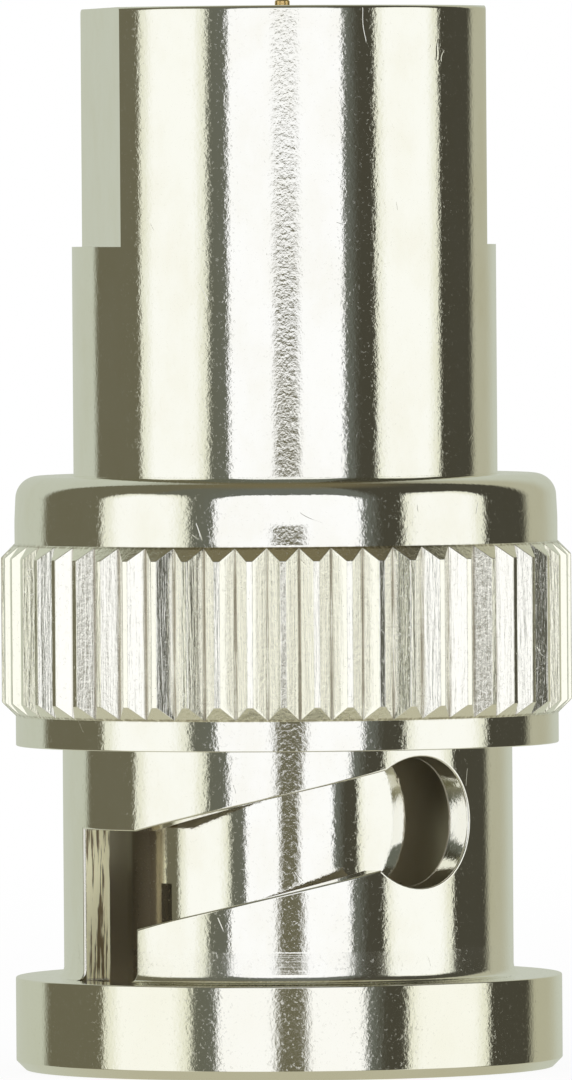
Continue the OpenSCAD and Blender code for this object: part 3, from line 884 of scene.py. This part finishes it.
def make_sleeve(sizes):
    """The outer contact: a sleeve cut by four slits into springy fingers, one quarter of it repeated."""
    skin = Skin()
    quarter = TURN / SLITS
    half = sizes.slit / 2
    edge = sizes.edge
    tip, chamfer_end = sizes.sleeve_tip, sizes.sleeve_tip + sizes.sleeve_edge
    end = frame_top("outer_contact")
    lower, lower_normals = open_profile([
        (sizes.sleeve_bore, sizes.slit_end, 0), (sizes.sleeve_bore, chamfer_end, edge),
        (sizes.sleeve_bore + sizes.sleeve_edge, tip, edge), (sizes.sleeve - sizes.sleeve_edge, tip, edge),
        (sizes.sleeve, chamfer_end, edge), (sizes.sleeve, sizes.slit_end, 0)])
    upper, upper_normals = open_profile([
        (sizes.sleeve, sizes.slit_end, 0), (sizes.sleeve, sizes.sleeve_step, edge),
        (sizes.sleeve_root, sizes.sleeve_step, edge), (sizes.sleeve_root, end, edge),
        (sizes.sleeve_bore, end, edge), (sizes.sleeve_bore, sizes.slit_end, 0)])
    shares = np.linspace(0, 1, FINGER_STEPS)
    skin.patch(*spun(lower, lower_normals, beside_cut(lower[:, 0], half, quarter, shares)))
    skin.patch(*spun(upper, upper_normals, beside_cut(upper[:, 0], half, quarter, shares)))
    skin.patch(*spun(upper, upper_normals, across_cut(upper[:, 0], half, SLIT_STEPS)))
    radii = np.array([sizes.sleeve_bore, sizes.sleeve])
    skin.patch(at(radii[:, None], across_cut(radii, half, SLIT_STEPS), sizes.slit_end), -UP)
    for sign in (-1, 1):
        wall = at(lower[:, 0], sign * half_width_angle(half, lower[:, 0]), lower[:, 1])
        skin.plate(wall, (0.0, -sign, 0.0))
    skin.repeat([sizes.slit_turn + quarter * k for k in range(SLITS)])
    return skin.build("slotted_sleeve")


def frame_top(node):
    """The height of a CAD node's top."""
    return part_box(node)[1][2]


def frame_ring(node):
    """A CAD ring's inner and outer radius, foot and top, read from the packed frame."""
    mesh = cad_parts[node].data
    points = np.empty(len(mesh.vertices) * 3, np.float32)
    mesh.vertices.foreach_get("co", points)
    points = points.reshape(-1, 3).astype(float)
    radius = np.hypot(points[:, 0], points[:, 1])
    return radius.min(), radius.max(), points[:, 2].min(), points[:, 2].max()


def make_ring(name, node, edge):
    """A plain ring with rounded edges, in the place of a CAD ring."""
    inner, outer, foot, top = frame_ring(node)
    return turned_piece(name, [
        (inner, foot, edge), (outer, foot, edge), (outer, top, edge), (inner, top, edge)])


# Centre contacts, insulators and washers

NOSE_TIP_ROUND = 0.12 * MM
NOSE_ROUND = 0.2 * MM
TAPER_ROUND = 0.15 * MM
PIN_TIP_ROUND = 0.06 * MM
INSULATOR_ROUND = 0.1 * MM
BUSH_ROUND = 0.08 * MM
GASKET_ROUND = 0.12 * MM


def make_plug_contact(c):
    """The plug's centre contact: nose, shaft and collar, and a tail bored out for the socket's pin."""
    return turned_piece("centre_contact", [
        (0, c.nose_tip, 0), (c.nose_flat, c.nose_tip, NOSE_TIP_ROUND), (c.nose, c.nose_end, NOSE_ROUND),
        (c.nose, c.shaft_foot, 0), (c.shaft, c.shaft_foot, c.edge), (c.shaft, c.collar_foot, 0),
        (c.collar, c.collar_foot, c.edge), (c.collar, c.collar_top, c.edge), (c.tail, c.collar_top, 0),
        (c.tail, c.tail_top, c.edge), (c.tail_bore, c.tail_top, c.edge), (c.tail_bore, c.tail_floor, 0),
        (0, c.tail_floor, 0)], PIN_COLUMNS, closed=False)


def make_socket_pin(c):
    """The socket's pin: a root held in the plug contact's tail, a shaft, a taper and a thin tip."""
    root = c.tail_bore - c.clearance
    return turned_piece("centre_pin", [
        (0, c.tail_floor, 0), (root, c.tail_floor, c.edge), (root, c.bush_foot, c.edge),
        (c.pin, c.bush_foot, 0), (c.pin, c.taper_foot, TAPER_ROUND), (c.tip, c.taper_top, TAPER_ROUND),
        (c.tip, c.tip_top, PIN_TIP_ROUND), (0, c.tip_top, 0)], PIN_COLUMNS, closed=False)


def make_front_insulator(c):
    """The insulator inside the sleeve, stepped behind for the plug contact's collar."""
    bore = c.shaft + c.clearance
    step = c.collar + c.clearance
    return turned_piece("sleeve_insulator", [
        (bore, c.shaft_foot, INSULATOR_ROUND), (c.front, c.shaft_foot, INSULATOR_ROUND),
        (c.front, c.collar_top, c.edge), (step, c.collar_top, c.edge), (step, c.collar_foot, 0),
        (bore, c.collar_foot, c.edge)])


def make_rear_insulator(c):
    """The insulator inside the body, between the plug contact's collar and the bush."""
    bore = c.tail + c.clearance
    return turned_piece("body_insulator", [
        (bore, c.collar_top, c.edge), (c.rear, c.collar_top, c.edge), (c.rear, c.bush_foot, INSULATOR_ROUND),
        (c.tail_bore, c.bush_foot, INSULATOR_ROUND / 2), (c.tail_bore, c.tail_top, 0), (bore, c.tail_top, 0)])


def make_wave_washer(c):
    """The wave washer: a flat ring of sheet whose height swings by cos (waves a)."""
    inner, outer, foot, top = frame_ring("wave_washer")
    swing = (top - foot - c.sheet) / 2
    middle = (top + foot) / 2
    turns = ring_of_angles(WAVE_COLUMNS)
    half = c.sheet / 2
    points, normals = spun(*rounded([(inner, -half, c.edge), (outer, -half, c.edge),
                                     (outer, half, c.edge), (inner, half, c.edge)]), turns)
    points[..., 2] += middle + swing * np.cos(c.waves * turns)
    radius = np.hypot(points[..., 0], points[..., 1])
    slope = -swing * c.waves * np.sin(c.waves * turns) / radius
    normals = normals - (normals[..., 2] * slope)[..., None] * outward(turns + np.pi / 2)
    skin = Skin()
    skin.patch(points, normals)
    return skin.build("wave_spring")


# Finishes

# The nickel's relief: its depth, and what each pattern gives to it
RELIEF = 0.0045 * MM
LINE_RELIEF = 0.03
GRAIN_RELIEF = 0.55
SWELL_RELIEF = 0.5
STREAK_RELIEF = 1.9
SCRATCH_RELIEF = 0.3
TOOLED_RELIEF = 0.4

# Its roughness where it is brightest, and what each pattern or mask adds
BRIGHT = 0.025
STAIN_DULL = 0.03
KNURL_DULL = 0.05
STREAK_DULL = 0.1
TOOLED_DULL = 0.08
SPECK_DULL = 0.15
BORE_DULL = 0.25
GROOVE_SHADE_DULL = 0.1
WORN_DULL = 0.03
WALL_DULL = 0.25

# How much of the metal gives way to a dull surface that carries painted brown shade in the bore and the
# groove and painted stripes on the groove's walls, and how much the masks change the shade
BORE_METAL_LOSS = 0.8
GROOVE_METAL_LOSS = 0.25
WALL_METAL_LOSS = 0.75
WORN_SHARE = 0.6
ROOT_DARK = 0.7
BORE_DARK = 0.75
GROOVE_DARK = 0.8

# Factors on a finish's own colour, and on the nickel for painted light and shade: lighter on the knurl,
# darker at its roots, brown in the bore and the groove, and striped with highlight and shade on the groove's
# walls
STAINED = (0.96, 0.95, 0.91)
WORN = (0.96, 0.95, 0.88)
KNURL_PAINTED_LIGHT = (1.06, 1.055, 1.02)
ROOT_SHADE = (0.3, 0.26, 0.18)
HOLLOW_SHADE = (0.34, 0.265, 0.14)
RIB_SHADE = (0.22, 0.17, 0.1)
RIB_HIGHLIGHT = (1.09, 1.06, 0.8)
GOLD_WEAR = (0.9, 0.88, 0.8)
SPRING_DULL = 0.82
CLOUDED = (0.95, 0.94, 0.91)
POWDER = 1.5

# The lean of the scratches, the scale of the rolled sheet's lines, and the plastics' indices of refraction
HAIR_LEAN = (0.5, 0.3, 0.7)
ROLLED = (4e4, 8e2, 8e2)
INSULATOR_IOR = 1.38
SILICONE_IOR = 1.42


class Wire:
    """One socket of a material. Sums on wires add their Math nodes."""

    def __init__(self, paint, socket):
        self.paint = paint
        self.socket = socket

    def sum(self, operation, *values):
        return self.paint.node("ShaderNodeMath", {"operation": operation}, *values)

    def __add__(self, other):
        return self.sum("ADD", self, other)

    def __radd__(self, other):
        return self.sum("ADD", other, self)

    def __sub__(self, other):
        return self.sum("SUBTRACT", self, other)

    def __rsub__(self, other):
        return self.sum("SUBTRACT", other, self)

    def __mul__(self, other):
        return self.sum("MULTIPLY", self, other)

    def __truediv__(self, other):
        return self.sum("DIVIDE", self, other)

    def __pow__(self, other):
        return self.sum("POWER", self, other)

    def __abs__(self):
        return self.sum("ABSOLUTE", self)

    def at_least(self, other):
        return self.sum("MAXIMUM", self, other)


class Paint:
    """Adds nodes to the tree of a material or of the world."""

    def __init__(self, owner):
        owner.use_nodes = True
        self.owner = owner
        self.tree = owner.node_tree
        self.tree.nodes.clear()

    def node(self, kind, settings=None, *values, out=0, **named):
        """Adds a node: its settings first, then the values or wires of its sockets, in order or by name."""
        made = self.tree.nodes.new(kind)
        for key, value in (settings or {}).items():
            setattr(made, key, value)
        for key, value in [*enumerate(values), *named.items()]:
            socket = made.inputs[key.replace("_", " ") if isinstance(key, str) else key]
            self.feed(socket, value)
        return Wire(self, made.outputs[out]) if made.outputs else made

    def feed(self, socket, value):
        """Links a wire to a socket, or sets a value on it."""
        if isinstance(value, Wire):
            self.tree.links.new(value.socket, socket)
        else:
            socket.default_value = value

    def step(self, value, low, high):
        """A smooth step from 0 below low to 1 above high."""
        settings = {"interpolation_type": "SMOOTHSTEP"}
        return self.node("ShaderNodeMapRange", settings, value, low, high, 0.0, 1.0)

    def fall(self, value, low, high):
        """A smooth step from 1 below low to 0 above high."""
        return 1 - self.step(value, low, high)

    def window(self, value, low, high, soft):
        """1 between low and high, 0 beyond them, with soft edges."""
        return self.step(value, low - soft, low + soft) * self.fall(value, high - soft, high + soft)

    def mix(self, share, first, second):
        """A blend of two colours."""
        made = self.node("ShaderNodeMix", {"data_type": "RGBA"}, out=2)
        for place, value in ((0, share), (6, first), (7, second)):
            value = (*value, 1) if hasattr(value, "__len__") else value
            self.feed(made.socket.node.inputs[place], value)
        return made

    def place(self):
        """The point's Object coordinates."""
        return self.node("ShaderNodeTexCoord", out=3)

    def cloud(self, place, across, along, detail=3.0, rough=0.5):
        """Values round 0.5, in features this many millimetres long across the axis and along it."""
        fine = (1 / (across * MM), 1 / (across * MM), 1 / (along * MM))
        return self.noise(self.node("ShaderNodeMapping", None, Vector=place, Scale=fine), detail, rough)

    def noise(self, vector, detail=3.0, rough=0.5):
        """A cloud of values round 0.5, in features one unit long."""
        return self.node("ShaderNodeTexNoise", None, Vector=vector, Scale=1.0, Detail=detail, Roughness=rough)

    def split(self, vector):
        """The three parts of a vector."""
        made = self.node("ShaderNodeSeparateXYZ", None, vector).socket.node
        return [Wire(self, output) for output in made.outputs]

    def surface(self, shader, kind="ShaderNodeOutputMaterial"):
        """Ends the tree."""
        self.node(kind, None, shader)


def tint(shade, factor):
    """A colour made lighter or darker by a factor for each of its parts."""
    return tuple(float(min(1.0, part * f)) for part, f in zip(shade, np.broadcast_to(factor, 3)))


def new_finish(name):
    """The nodes of a new material, begun."""
    return Paint(bpy.data.materials.get(name) or bpy.data.materials.new(name))


def end_finish(paint, height, depth, **sockets):
    """A Principled surface with a bump of the given depth. Plain numbers are set on its own sockets."""
    bump = paint.node("ShaderNodeBump", None, Strength=1.0, Distance=depth, Height=height)
    paint.surface(paint.node("ShaderNodeBsdfPrincipled", None, Normal=bump, **sockets))
    return paint.owner


def nickel_finish(colours, nut):
    """Bright nickel over turned brass: fine turning lines, grain, faint stains, and a drawn-out knurl with
    painted light on it.

    The nut's sizes place the masks: knurl, and the roots between its teeth with painted shade, tooled at the
    neck's foot, worn on the flange, a duller finish with painted brown shade in the bore and on the sleeve in
    an entry groove, and walled on its sides with stripes of painted highlight and shade.
    """
    paint = new_finish("bright_nickel")
    step, fall, window = paint.step, paint.fall, paint.window
    place = paint.place()
    x, y, z = paint.split(place)
    radius = (x * x + y * y) ** 0.5

    # Patterns
    lines = paint.cloud(place, 6, 0.05)
    grain = paint.cloud(place, 0.11, 0.13, rough=0.6)
    swell = paint.cloud(place, 1.2, 2.4, detail=2.0)
    streaks = paint.cloud(place, 0.11, 1.9, detail=4.0, rough=0.6)
    stain = paint.cloud(place, 1.2, 1.8, detail=4.0, rough=0.6)
    leaning = paint.node("ShaderNodeMapping", None, Vector=place, Rotation=HAIR_LEAN)
    hair = paint.cloud(leaning, 0.7, 9, detail=0.0)
    sparse = step(paint.cloud(place, 0.8, 0.9, detail=0.0), 0.73, 0.76)
    specks = step(paint.cloud(place, 0.08, 0.08, detail=1.0), 0.6, 0.72)

    # Masks
    knurl = window(z, nut.knurl_foot, nut.knurl_top, 0.05 * MM) * step(radius, nut.root - 0.06 * MM, nut.root)
    # Painted shade along the creases at the knurl's roots, in streaks
    roots = knurl * fall(radius, nut.root + 0.01 * MM, nut.root + 0.06 * MM) * step(streaks, 0.35, 0.55)
    tooled = window(z, nut.flange_top + 0.1 * MM, nut.flange_top + 0.8 * MM, 0.02 * MM)
    tooled = tooled * fall(radius, nut.neck + 0.1 * MM, nut.neck + 0.2 * MM)
    worn = fall(z, nut.flange_top - 0.05 * MM, nut.flange_top)
    inside = fall(radius, nut.bore, nut.bore + 0.1 * MM) * fall(z, nut.end, nut.end + 0.2 * MM)
    # Painted shade inside the nut's bore, where little light comes in; also a duller finish there
    bored = inside * step(radius, nut.bore - 0.08 * MM, nut.bore - 0.04 * MM)
    off_groove = (x * float(np.sin(nut.entry)) - y * float(np.cos(nut.entry))) / (nut.groove / 2)
    # Painted shade on the sleeve inside the nut, seen through an entry groove
    groove_shade = inside * step(off_groove, -0.3, -0.12) * fall(off_groove, 1.2, 1.5)
    groove_shade = groove_shade * fall(z, nut.groove_top - 0.1 * MM, nut.groove_top + 0.2 * MM)
    # The groove's side walls, which get stripes of painted highlight and painted shade
    walled = window(off_groove * off_groove, 0.97, 1.03, 0.02)
    walled = walled * window(radius, nut.bore, nut.neck - nut.track_edge, 0.02 * MM)
    walled = walled * window(z, nut.flange_top, nut.groove_top, 0.05 * MM)
    scratch = sparse * fall(abs(hair - 0.5), 0.0, 0.008) * step(z, nut.flange_top, nut.flange_top + 0.1 * MM)

    height = lines * LINE_RELIEF + grain * GRAIN_RELIEF + swell * SWELL_RELIEF
    height = height + streaks * knurl * STREAK_RELIEF - scratch * SCRATCH_RELIEF
    height = height + lines * tooled * TOOLED_RELIEF
    rough = BRIGHT + step(stain, 0.45, 0.75) * STAIN_DULL + knurl * (KNURL_DULL + streaks * STREAK_DULL)
    rough = rough + tooled * TOOLED_DULL + specks * SPECK_DULL + bored * BORE_DULL + groove_shade * GROOVE_SHADE_DULL
    rough = rough + worn * WORN_DULL + walled * WALL_DULL
    metal = 1 - bored * BORE_METAL_LOSS - groove_shade * GROOVE_METAL_LOSS - walled * WALL_METAL_LOSS

    nickel = tuple(colours.nickel)
    # Stripes of painted highlight and painted shade for the milling marks on the groove's walls
    rib_light_and_shade = paint.mix(step(streaks, 0.42, 0.5), tint(nickel, RIB_SHADE), tint(nickel, RIB_HIGHLIGHT))
    shade = paint.mix(step(stain, 0.35, 0.8), nickel, tint(nickel, STAINED))
    shade = paint.mix(worn * WORN_SHARE, shade, tint(nickel, WORN))
    # Painted light: the knurl's nickel made lighter and a little warmer than the rest
    shade = paint.mix(knurl, shade, tint(nickel, KNURL_PAINTED_LIGHT))
    # Painted shade at the knurl's roots
    shade = paint.mix(roots * ROOT_DARK, shade, tint(nickel, ROOT_SHADE))
    # Painted brown shade inside the bore and on the sleeve in an entry groove
    shade = paint.mix(bored * BORE_DARK + groove_shade * GROOVE_DARK, shade, tint(nickel, HOLLOW_SHADE))
    shade = paint.mix(walled, shade, rib_light_and_shade)
    return end_finish(paint, height, RELIEF, Base_Color=shade, Metallic=metal, Roughness=rough)


def gold_finish(colours):
    """Gold plating, turned bright, with fine lines round it and a little wear."""
    paint = new_finish("turned_gold")
    place = paint.place()
    lines = paint.cloud(place, 3, 0.04)
    wear = paint.cloud(place, 0.5, 0.9, detail=4.0, rough=0.6)
    shade = paint.mix(paint.step(wear, 0.4, 0.75), tuple(colours.gold), tint(colours.gold, GOLD_WEAR))
    return end_finish(paint, lines + wear * 0.5, 0.0008 * MM, Base_Color=shade, Metallic=1.0,
                      Roughness=0.14 + wear * 0.16)


def spring_finish(colours):
    """Rolled spring sheet, with fine lines and a dull grain."""
    paint = new_finish("spring_sheet")
    place = paint.place()
    lines = paint.noise(paint.node("ShaderNodeMapping", None, Vector=place, Scale=ROLLED))
    grain = paint.cloud(place, 0.15, 0.15)
    shade = paint.mix(grain, tuple(colours.spring), tint(colours.spring, SPRING_DULL))
    return end_finish(paint, lines + grain, 0.001 * MM, Base_Color=shade, Metallic=1.0,
                      Roughness=0.24 + grain * 0.2)


def insulator_finish(colours):
    """White insulator, cut on a lathe: waxy, with soft tool lines and a slightly cloudy white."""
    paint = new_finish("white_insulator")
    place = paint.place()
    lines = paint.cloud(place, 2, 0.07, detail=2.0)
    haze = paint.cloud(place, 0.8, 0.8, detail=4.0)
    shade = paint.mix(haze, tuple(colours.insulator), tint(colours.insulator, CLOUDED))
    return end_finish(paint, lines + haze, 0.003 * MM, Base_Color=shade, Roughness=0.38 + haze * 0.14,
                      IOR=INSULATOR_IOR)


def silicone_finish(colours):
    """Moulded silicone: matt, with a fine powdery grain."""
    paint = new_finish("dark_silicone")
    grain = paint.cloud(paint.place(), 0.06, 0.06)
    shade = paint.mix(grain, tuple(colours.silicone), tint(colours.silicone, POWDER))
    return end_finish(paint, grain, 0.006 * MM, Base_Color=shade, Roughness=0.52 + grain * 0.2,
                      IOR=SILICONE_IOR)


# Camera, light and floor

SENSOR = 36.0
CLIP = (0.01, 20.0)

# The studio in degrees. A panel is its two turns, its top, the reach of its upper corners and its soft edge,
# and its sides are straight up to a share of its top
FRONT_PANEL = (-30.5, 32.5, 32.0, 18.0, 0.8)
SIDE_EDGES = ((51.0, 93.5, 32.0, 12.0, 1.0), (-85.0, -42.0, 32.0, 12.0, 1.5))
SIDE_PANELS = ((54.5, 88.0, 28.0, 12.0, 4.0), (-79.0, -47.0, 28.0, 12.0, 4.0))
PANEL_SQUARE = 0.15

# Where one light goes over into the next. The two windows are a low and a high turn and a soft edge
FAR_RIGHT_TURNS = (34.0, 42.0)
LEFT_TURNS = (-40.0, -20.0)
FAR_LEFT_TURNS = (-70.0, -60.0)
BEHIND_RIGHT_TURNS = (120.0, 128.0)
BEHIND_LEFT_TURNS = (-129.0, -122.0)
CEILING_RISES = (55.0, 85.0)
BACKDROP_RISES = (45.0, 80.0)
GROUND_RISES = (-60.0, -14.0)
LENS_RISES = (-1.2, 0.2)
BACKDROP_RIGHT = (90.0, 150.0, 12.0)
LENS_TURNS = (-5.5, 7.5, 2.0)

# Where the floor's shadow fades out, in shares of its radius
SHADOW_FADE = (0.3, 0.95)


def make_camera(stage):
    """Places the camera round the axis, with a small roll and a lens that frames the given height."""
    data = bpy.data.cameras.new("camera")
    data.sensor_width = SENSOR
    aim = Vector((0, 0, stage.aim))
    turn = stage.azimuth
    place = Vector((stage.distance * np.sin(turn), -stage.distance * np.cos(turn), stage.height))
    data.lens = data.sensor_width * (place - aim).length / stage.frame_height
    data.clip_start, data.clip_end = CLIP
    camera = bpy.data.objects.new("camera", data)
    bpy.context.scene.collection.objects.link(camera)
    view = (aim - place).to_track_quat("-Z", "Y").to_matrix().to_4x4() @ Matrix.Rotation(-stage.roll, 4, "Z")
    camera.matrix_world = Matrix.Translation(place) @ view
    bpy.context.scene.camera = camera


def make_studio(stage):
    """The light: panels beside and before the adapter, dark gaps between them, a backdrop and a dark ceiling.

    A direction's turn is its angle from the camera's side of the adapter, positive to the camera's right.
    Metal mirrors all of it, other surfaces get an even light, and the camera sees plain white.
    """
    world = bpy.data.worlds.new("studio")
    bpy.context.scene.world = world
    paint = Paint(world)
    direction = paint.node("ShaderNodeMapping", None, Vector=paint.node("ShaderNodeTexCoord", out=0),
                           Rotation=(0.0, 0.0, -stage.azimuth))
    x, y, z = paint.split(direction)
    turn = paint.node("ShaderNodeMath", {"operation": "ARCTAN2"}, x, 0.0 - y) * DEGREES
    rise = z.sum("ARCSINE", z) * DEGREES

    def panel(low, high, top, corner, soft):
        """1 on a panel between two turns and up to a height, with soft edges and elliptical upper corners."""
        aside = abs(turn - (low + high) / 2) - ((high - low) / 2 - corner)
        across = aside.at_least(0.0) / corner
        above = (rise - PANEL_SQUARE * top).at_least(0.0) / ((1 - PANEL_SQUARE) * top)
        return paint.fall((across * across + above * above) ** 0.5, 1 - soft / corner, 1 + soft / corner)

    def panels(table):
        return panel(*table[0]) + panel(*table[1])

    light = paint.mix(paint.step(turn, *FAR_RIGHT_TURNS), tuple(stage.gap_right), tuple(stage.gap_far_right))
    light = paint.mix(paint.fall(turn, *LEFT_TURNS), light, tuple(stage.gap_left))
    light = paint.mix(paint.fall(turn, *FAR_LEFT_TURNS), light, tuple(stage.gap_far_left))
    light = paint.mix(paint.step(rise, *CEILING_RISES), light, tuple(stage.ceiling))
    behind = paint.step(turn, *BEHIND_RIGHT_TURNS) + paint.fall(turn, *BEHIND_LEFT_TURNS)
    right = paint.window(turn, *BACKDROP_RIGHT)
    backdrop = paint.mix(right, tuple(stage.backdrop), tuple(stage.backdrop_right))
    light = paint.mix(behind * paint.fall(rise, *BACKDROP_RISES), light, backdrop)
    light = paint.mix(panels(SIDE_EDGES), light, tuple(stage.side_edge))
    light = paint.mix(panels(SIDE_PANELS), light, tuple(stage.side_panel))
    light = paint.mix(panel(*FRONT_PANEL), light, tuple(stage.front_panel))
    lens = paint.window(turn, *LENS_TURNS) * paint.fall(rise, *LENS_RISES) * stage.lens_share
    light = paint.mix(lens, light, tuple(stage.gap_far_left))
    light = paint.mix(paint.fall(rise, *GROUND_RISES), light, tuple(stage.ground))
    seen = paint.node("ShaderNodeLightPath", out=0)
    mirrored = paint.node("ShaderNodeLightPath", out=3)
    light = paint.mix(mirrored, tuple(stage.plain), light)
    paint.surface(paint.node("ShaderNodeBackground", None, paint.mix(seen, light, (1.0, 1.0, 1.0)), 1.0),
                  "ShaderNodeOutputWorld")


def make_floor(stage):
    """A round pale floor under the adapter: white from above, with its soft shadow, and clear from below."""
    skin = Skin()
    radius = np.linspace(0, stage.floor_radius, FLOOR_RINGS)[:, None]
    skin.patch(at(radius, ring_of_angles(FLOOR_COLUMNS), -stage.floor_gap), UP)
    floor = skin.build("floor")
    paint = new_finish("pale_floor")
    x, y, _ = paint.split(paint.place())
    near, far = (share * stage.floor_radius for share in SHADOW_FADE)
    away = paint.step((x * x + y * y) ** 0.5, near, far)
    matt = paint.node("ShaderNodeBsdfDiffuse", None, (*stage.floor_colour, 1))
    white = paint.node("ShaderNodeEmission", None, (1, 1, 1, 1), 1.0)
    share = stage.floor_glow + away * (1 - stage.floor_glow)
    pale = paint.node("ShaderNodeMixShader", None, share, matt, white)
    clear = paint.node("ShaderNodeBsdfTransparent")
    seen = paint.node("ShaderNodeLightPath", out=0) * (1 - paint.node("ShaderNodeNewGeometry", out=6))
    paint.surface(paint.node("ShaderNodeMixShader", None, seen, clear, pale))
    floor.data.materials.append(paint.owner)


# Operators

def hand_over(piece, finish, body, node):
    """Gives a piece its finish, hangs it on the body it rides on, and hides the CAD node that it stands in
    for.
    """
    piece.data.materials.append(finish)
    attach(piece, body)
    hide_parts(node)


class ADAPTER_OT_nut(bpy.types.Operator):
    """Makes the coupling nut, with its bayonet tracks and its knurl"""
    bl_idname = "adapter.nut"
    bl_label = "Coupling nut"

    def execute(self, context):
        scene = context.scene
        finish = nickel_finish(scene.adapter_finish, scene.adapter_nut)
        hand_over(make_nut(scene.adapter_nut), finish, "nut", "coupling_nut")
        return {"FINISHED"}


class ADAPTER_OT_body(bpy.types.Operator):
    """Makes the body, with its wrench flats and threaded socket"""
    bl_idname = "adapter.body"
    bl_label = "Body"

    def execute(self, context):
        scene = context.scene
        finish = nickel_finish(scene.adapter_finish, scene.adapter_nut)
        hand_over(make_body(scene.adapter_body), finish, "adapter", "adapter_body")
        return {"FINISHED"}


class ADAPTER_OT_sleeve(bpy.types.Operator):
    """Makes the slotted sleeve"""
    bl_idname = "adapter.sleeve"
    bl_label = "Slotted sleeve"

    def execute(self, context):
        scene = context.scene
        finish = nickel_finish(scene.adapter_finish, scene.adapter_nut)
        hand_over(make_sleeve(scene.adapter_sleeve), finish, "adapter", "outer_contact")
        return {"FINISHED"}


class ADAPTER_OT_centre(bpy.types.Operator):
    """Makes the two centre contacts and the insulators round them"""
    bl_idname = "adapter.centre"
    bl_label = "Contacts and insulators"

    def execute(self, context):
        sizes = context.scene.adapter_centre
        gold = gold_finish(context.scene.adapter_finish)
        white = insulator_finish(context.scene.adapter_finish)
        hand_over(make_plug_contact(sizes), gold, "adapter", "plug_contact")
        hand_over(make_socket_pin(sizes), gold, "adapter", "socket_pin")
        hand_over(make_front_insulator(sizes), white, "adapter", "front_insulator")
        hand_over(make_rear_insulator(sizes), white, "adapter", "rear_insulator")
        return {"FINISHED"}


class ADAPTER_OT_rings(bpy.types.Operator):
    """Makes the bush, the washers and the gasket"""
    bl_idname = "adapter.rings"
    bl_label = "Rings and washers"

    def execute(self, context):
        scene = context.scene
        sizes = scene.adapter_centre
        nickel = nickel_finish(scene.adapter_finish, scene.adapter_nut)
        spring = spring_finish(scene.adapter_finish)
        silicone = silicone_finish(scene.adapter_finish)
        bush = make_ring("bush", "socket_bush", BUSH_ROUND)
        thrust = make_ring("thrust_ring", "thrust_washer", sizes.edge)
        gasket = make_ring("gasket", "face_gasket", GASKET_ROUND)
        wave = make_wave_washer(sizes)
        hand_over(bush, nickel, "adapter", "socket_bush")
        hand_over(thrust, spring, "washer", "thrust_washer")
        hand_over(gasket, silicone, "adapter", "face_gasket")
        hand_over(wave, spring, "adapter", "wave_washer")
        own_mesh(wave)
        return {"FINISHED"}


class ADAPTER_OT_stage(bpy.types.Operator):
    """Sets the camera, the studio light and the floor"""
    bl_idname = "adapter.stage"
    bl_label = "Stage"

    def execute(self, context):
        stage = context.scene.adapter_stage
        context.scene.view_settings.view_transform = "Standard"
        make_camera(stage)
        make_studio(stage)
        make_floor(stage)
        return {"FINISHED"}


class ADAPTER_PT_panel(bpy.types.Panel):
    """Lists the adapter's pieces and their sizes"""
    bl_idname = "ADAPTER_PT_panel"
    bl_label = "Coaxial adapter"
    bl_space_type = "VIEW_3D"
    bl_region_type = "UI"
    bl_category = "Adapter"

    def draw(self, context):
        for operator in OPERATORS:
            self.layout.operator(operator.bl_idname)
        for name, group in GROUPS.items():
            box = self.layout.box()
            box.label(text=group.__doc__)
            for key in group.__annotations__:
                box.prop(getattr(context.scene, name), key)


GROUPS = {
    "adapter_nut": NutSizes,
    "adapter_body": BodySizes,
    "adapter_sleeve": SleeveSizes,
    "adapter_centre": CentreSizes,
    "adapter_finish": FinishColours,
    "adapter_stage": StageSettings,
}
OPERATORS = (ADAPTER_OT_nut, ADAPTER_OT_body, ADAPTER_OT_sleeve, ADAPTER_OT_centre, ADAPTER_OT_rings,
             ADAPTER_OT_stage)


def register():
    for group in (*GROUPS.values(), *OPERATORS, ADAPTER_PT_panel):
        bpy.utils.register_class(group)
    for name, group in GROUPS.items():
        setattr(bpy.types.Scene, name, PointerProperty(type=group))


def unregister():
    for name in GROUPS:
        delattr(bpy.types.Scene, name)
    for group in (ADAPTER_PT_panel, *reversed(OPERATORS), *reversed(GROUPS.values())):
        bpy.utils.unregister_class(group)


def main():
    register()
    bpy.ops.adapter.stage()
    bpy.ops.adapter.nut()
    bpy.ops.adapter.body()
    bpy.ops.adapter.sleeve()
    bpy.ops.adapter.centre()
    bpy.ops.adapter.rings()


if __name__ == "__main__":
    main()
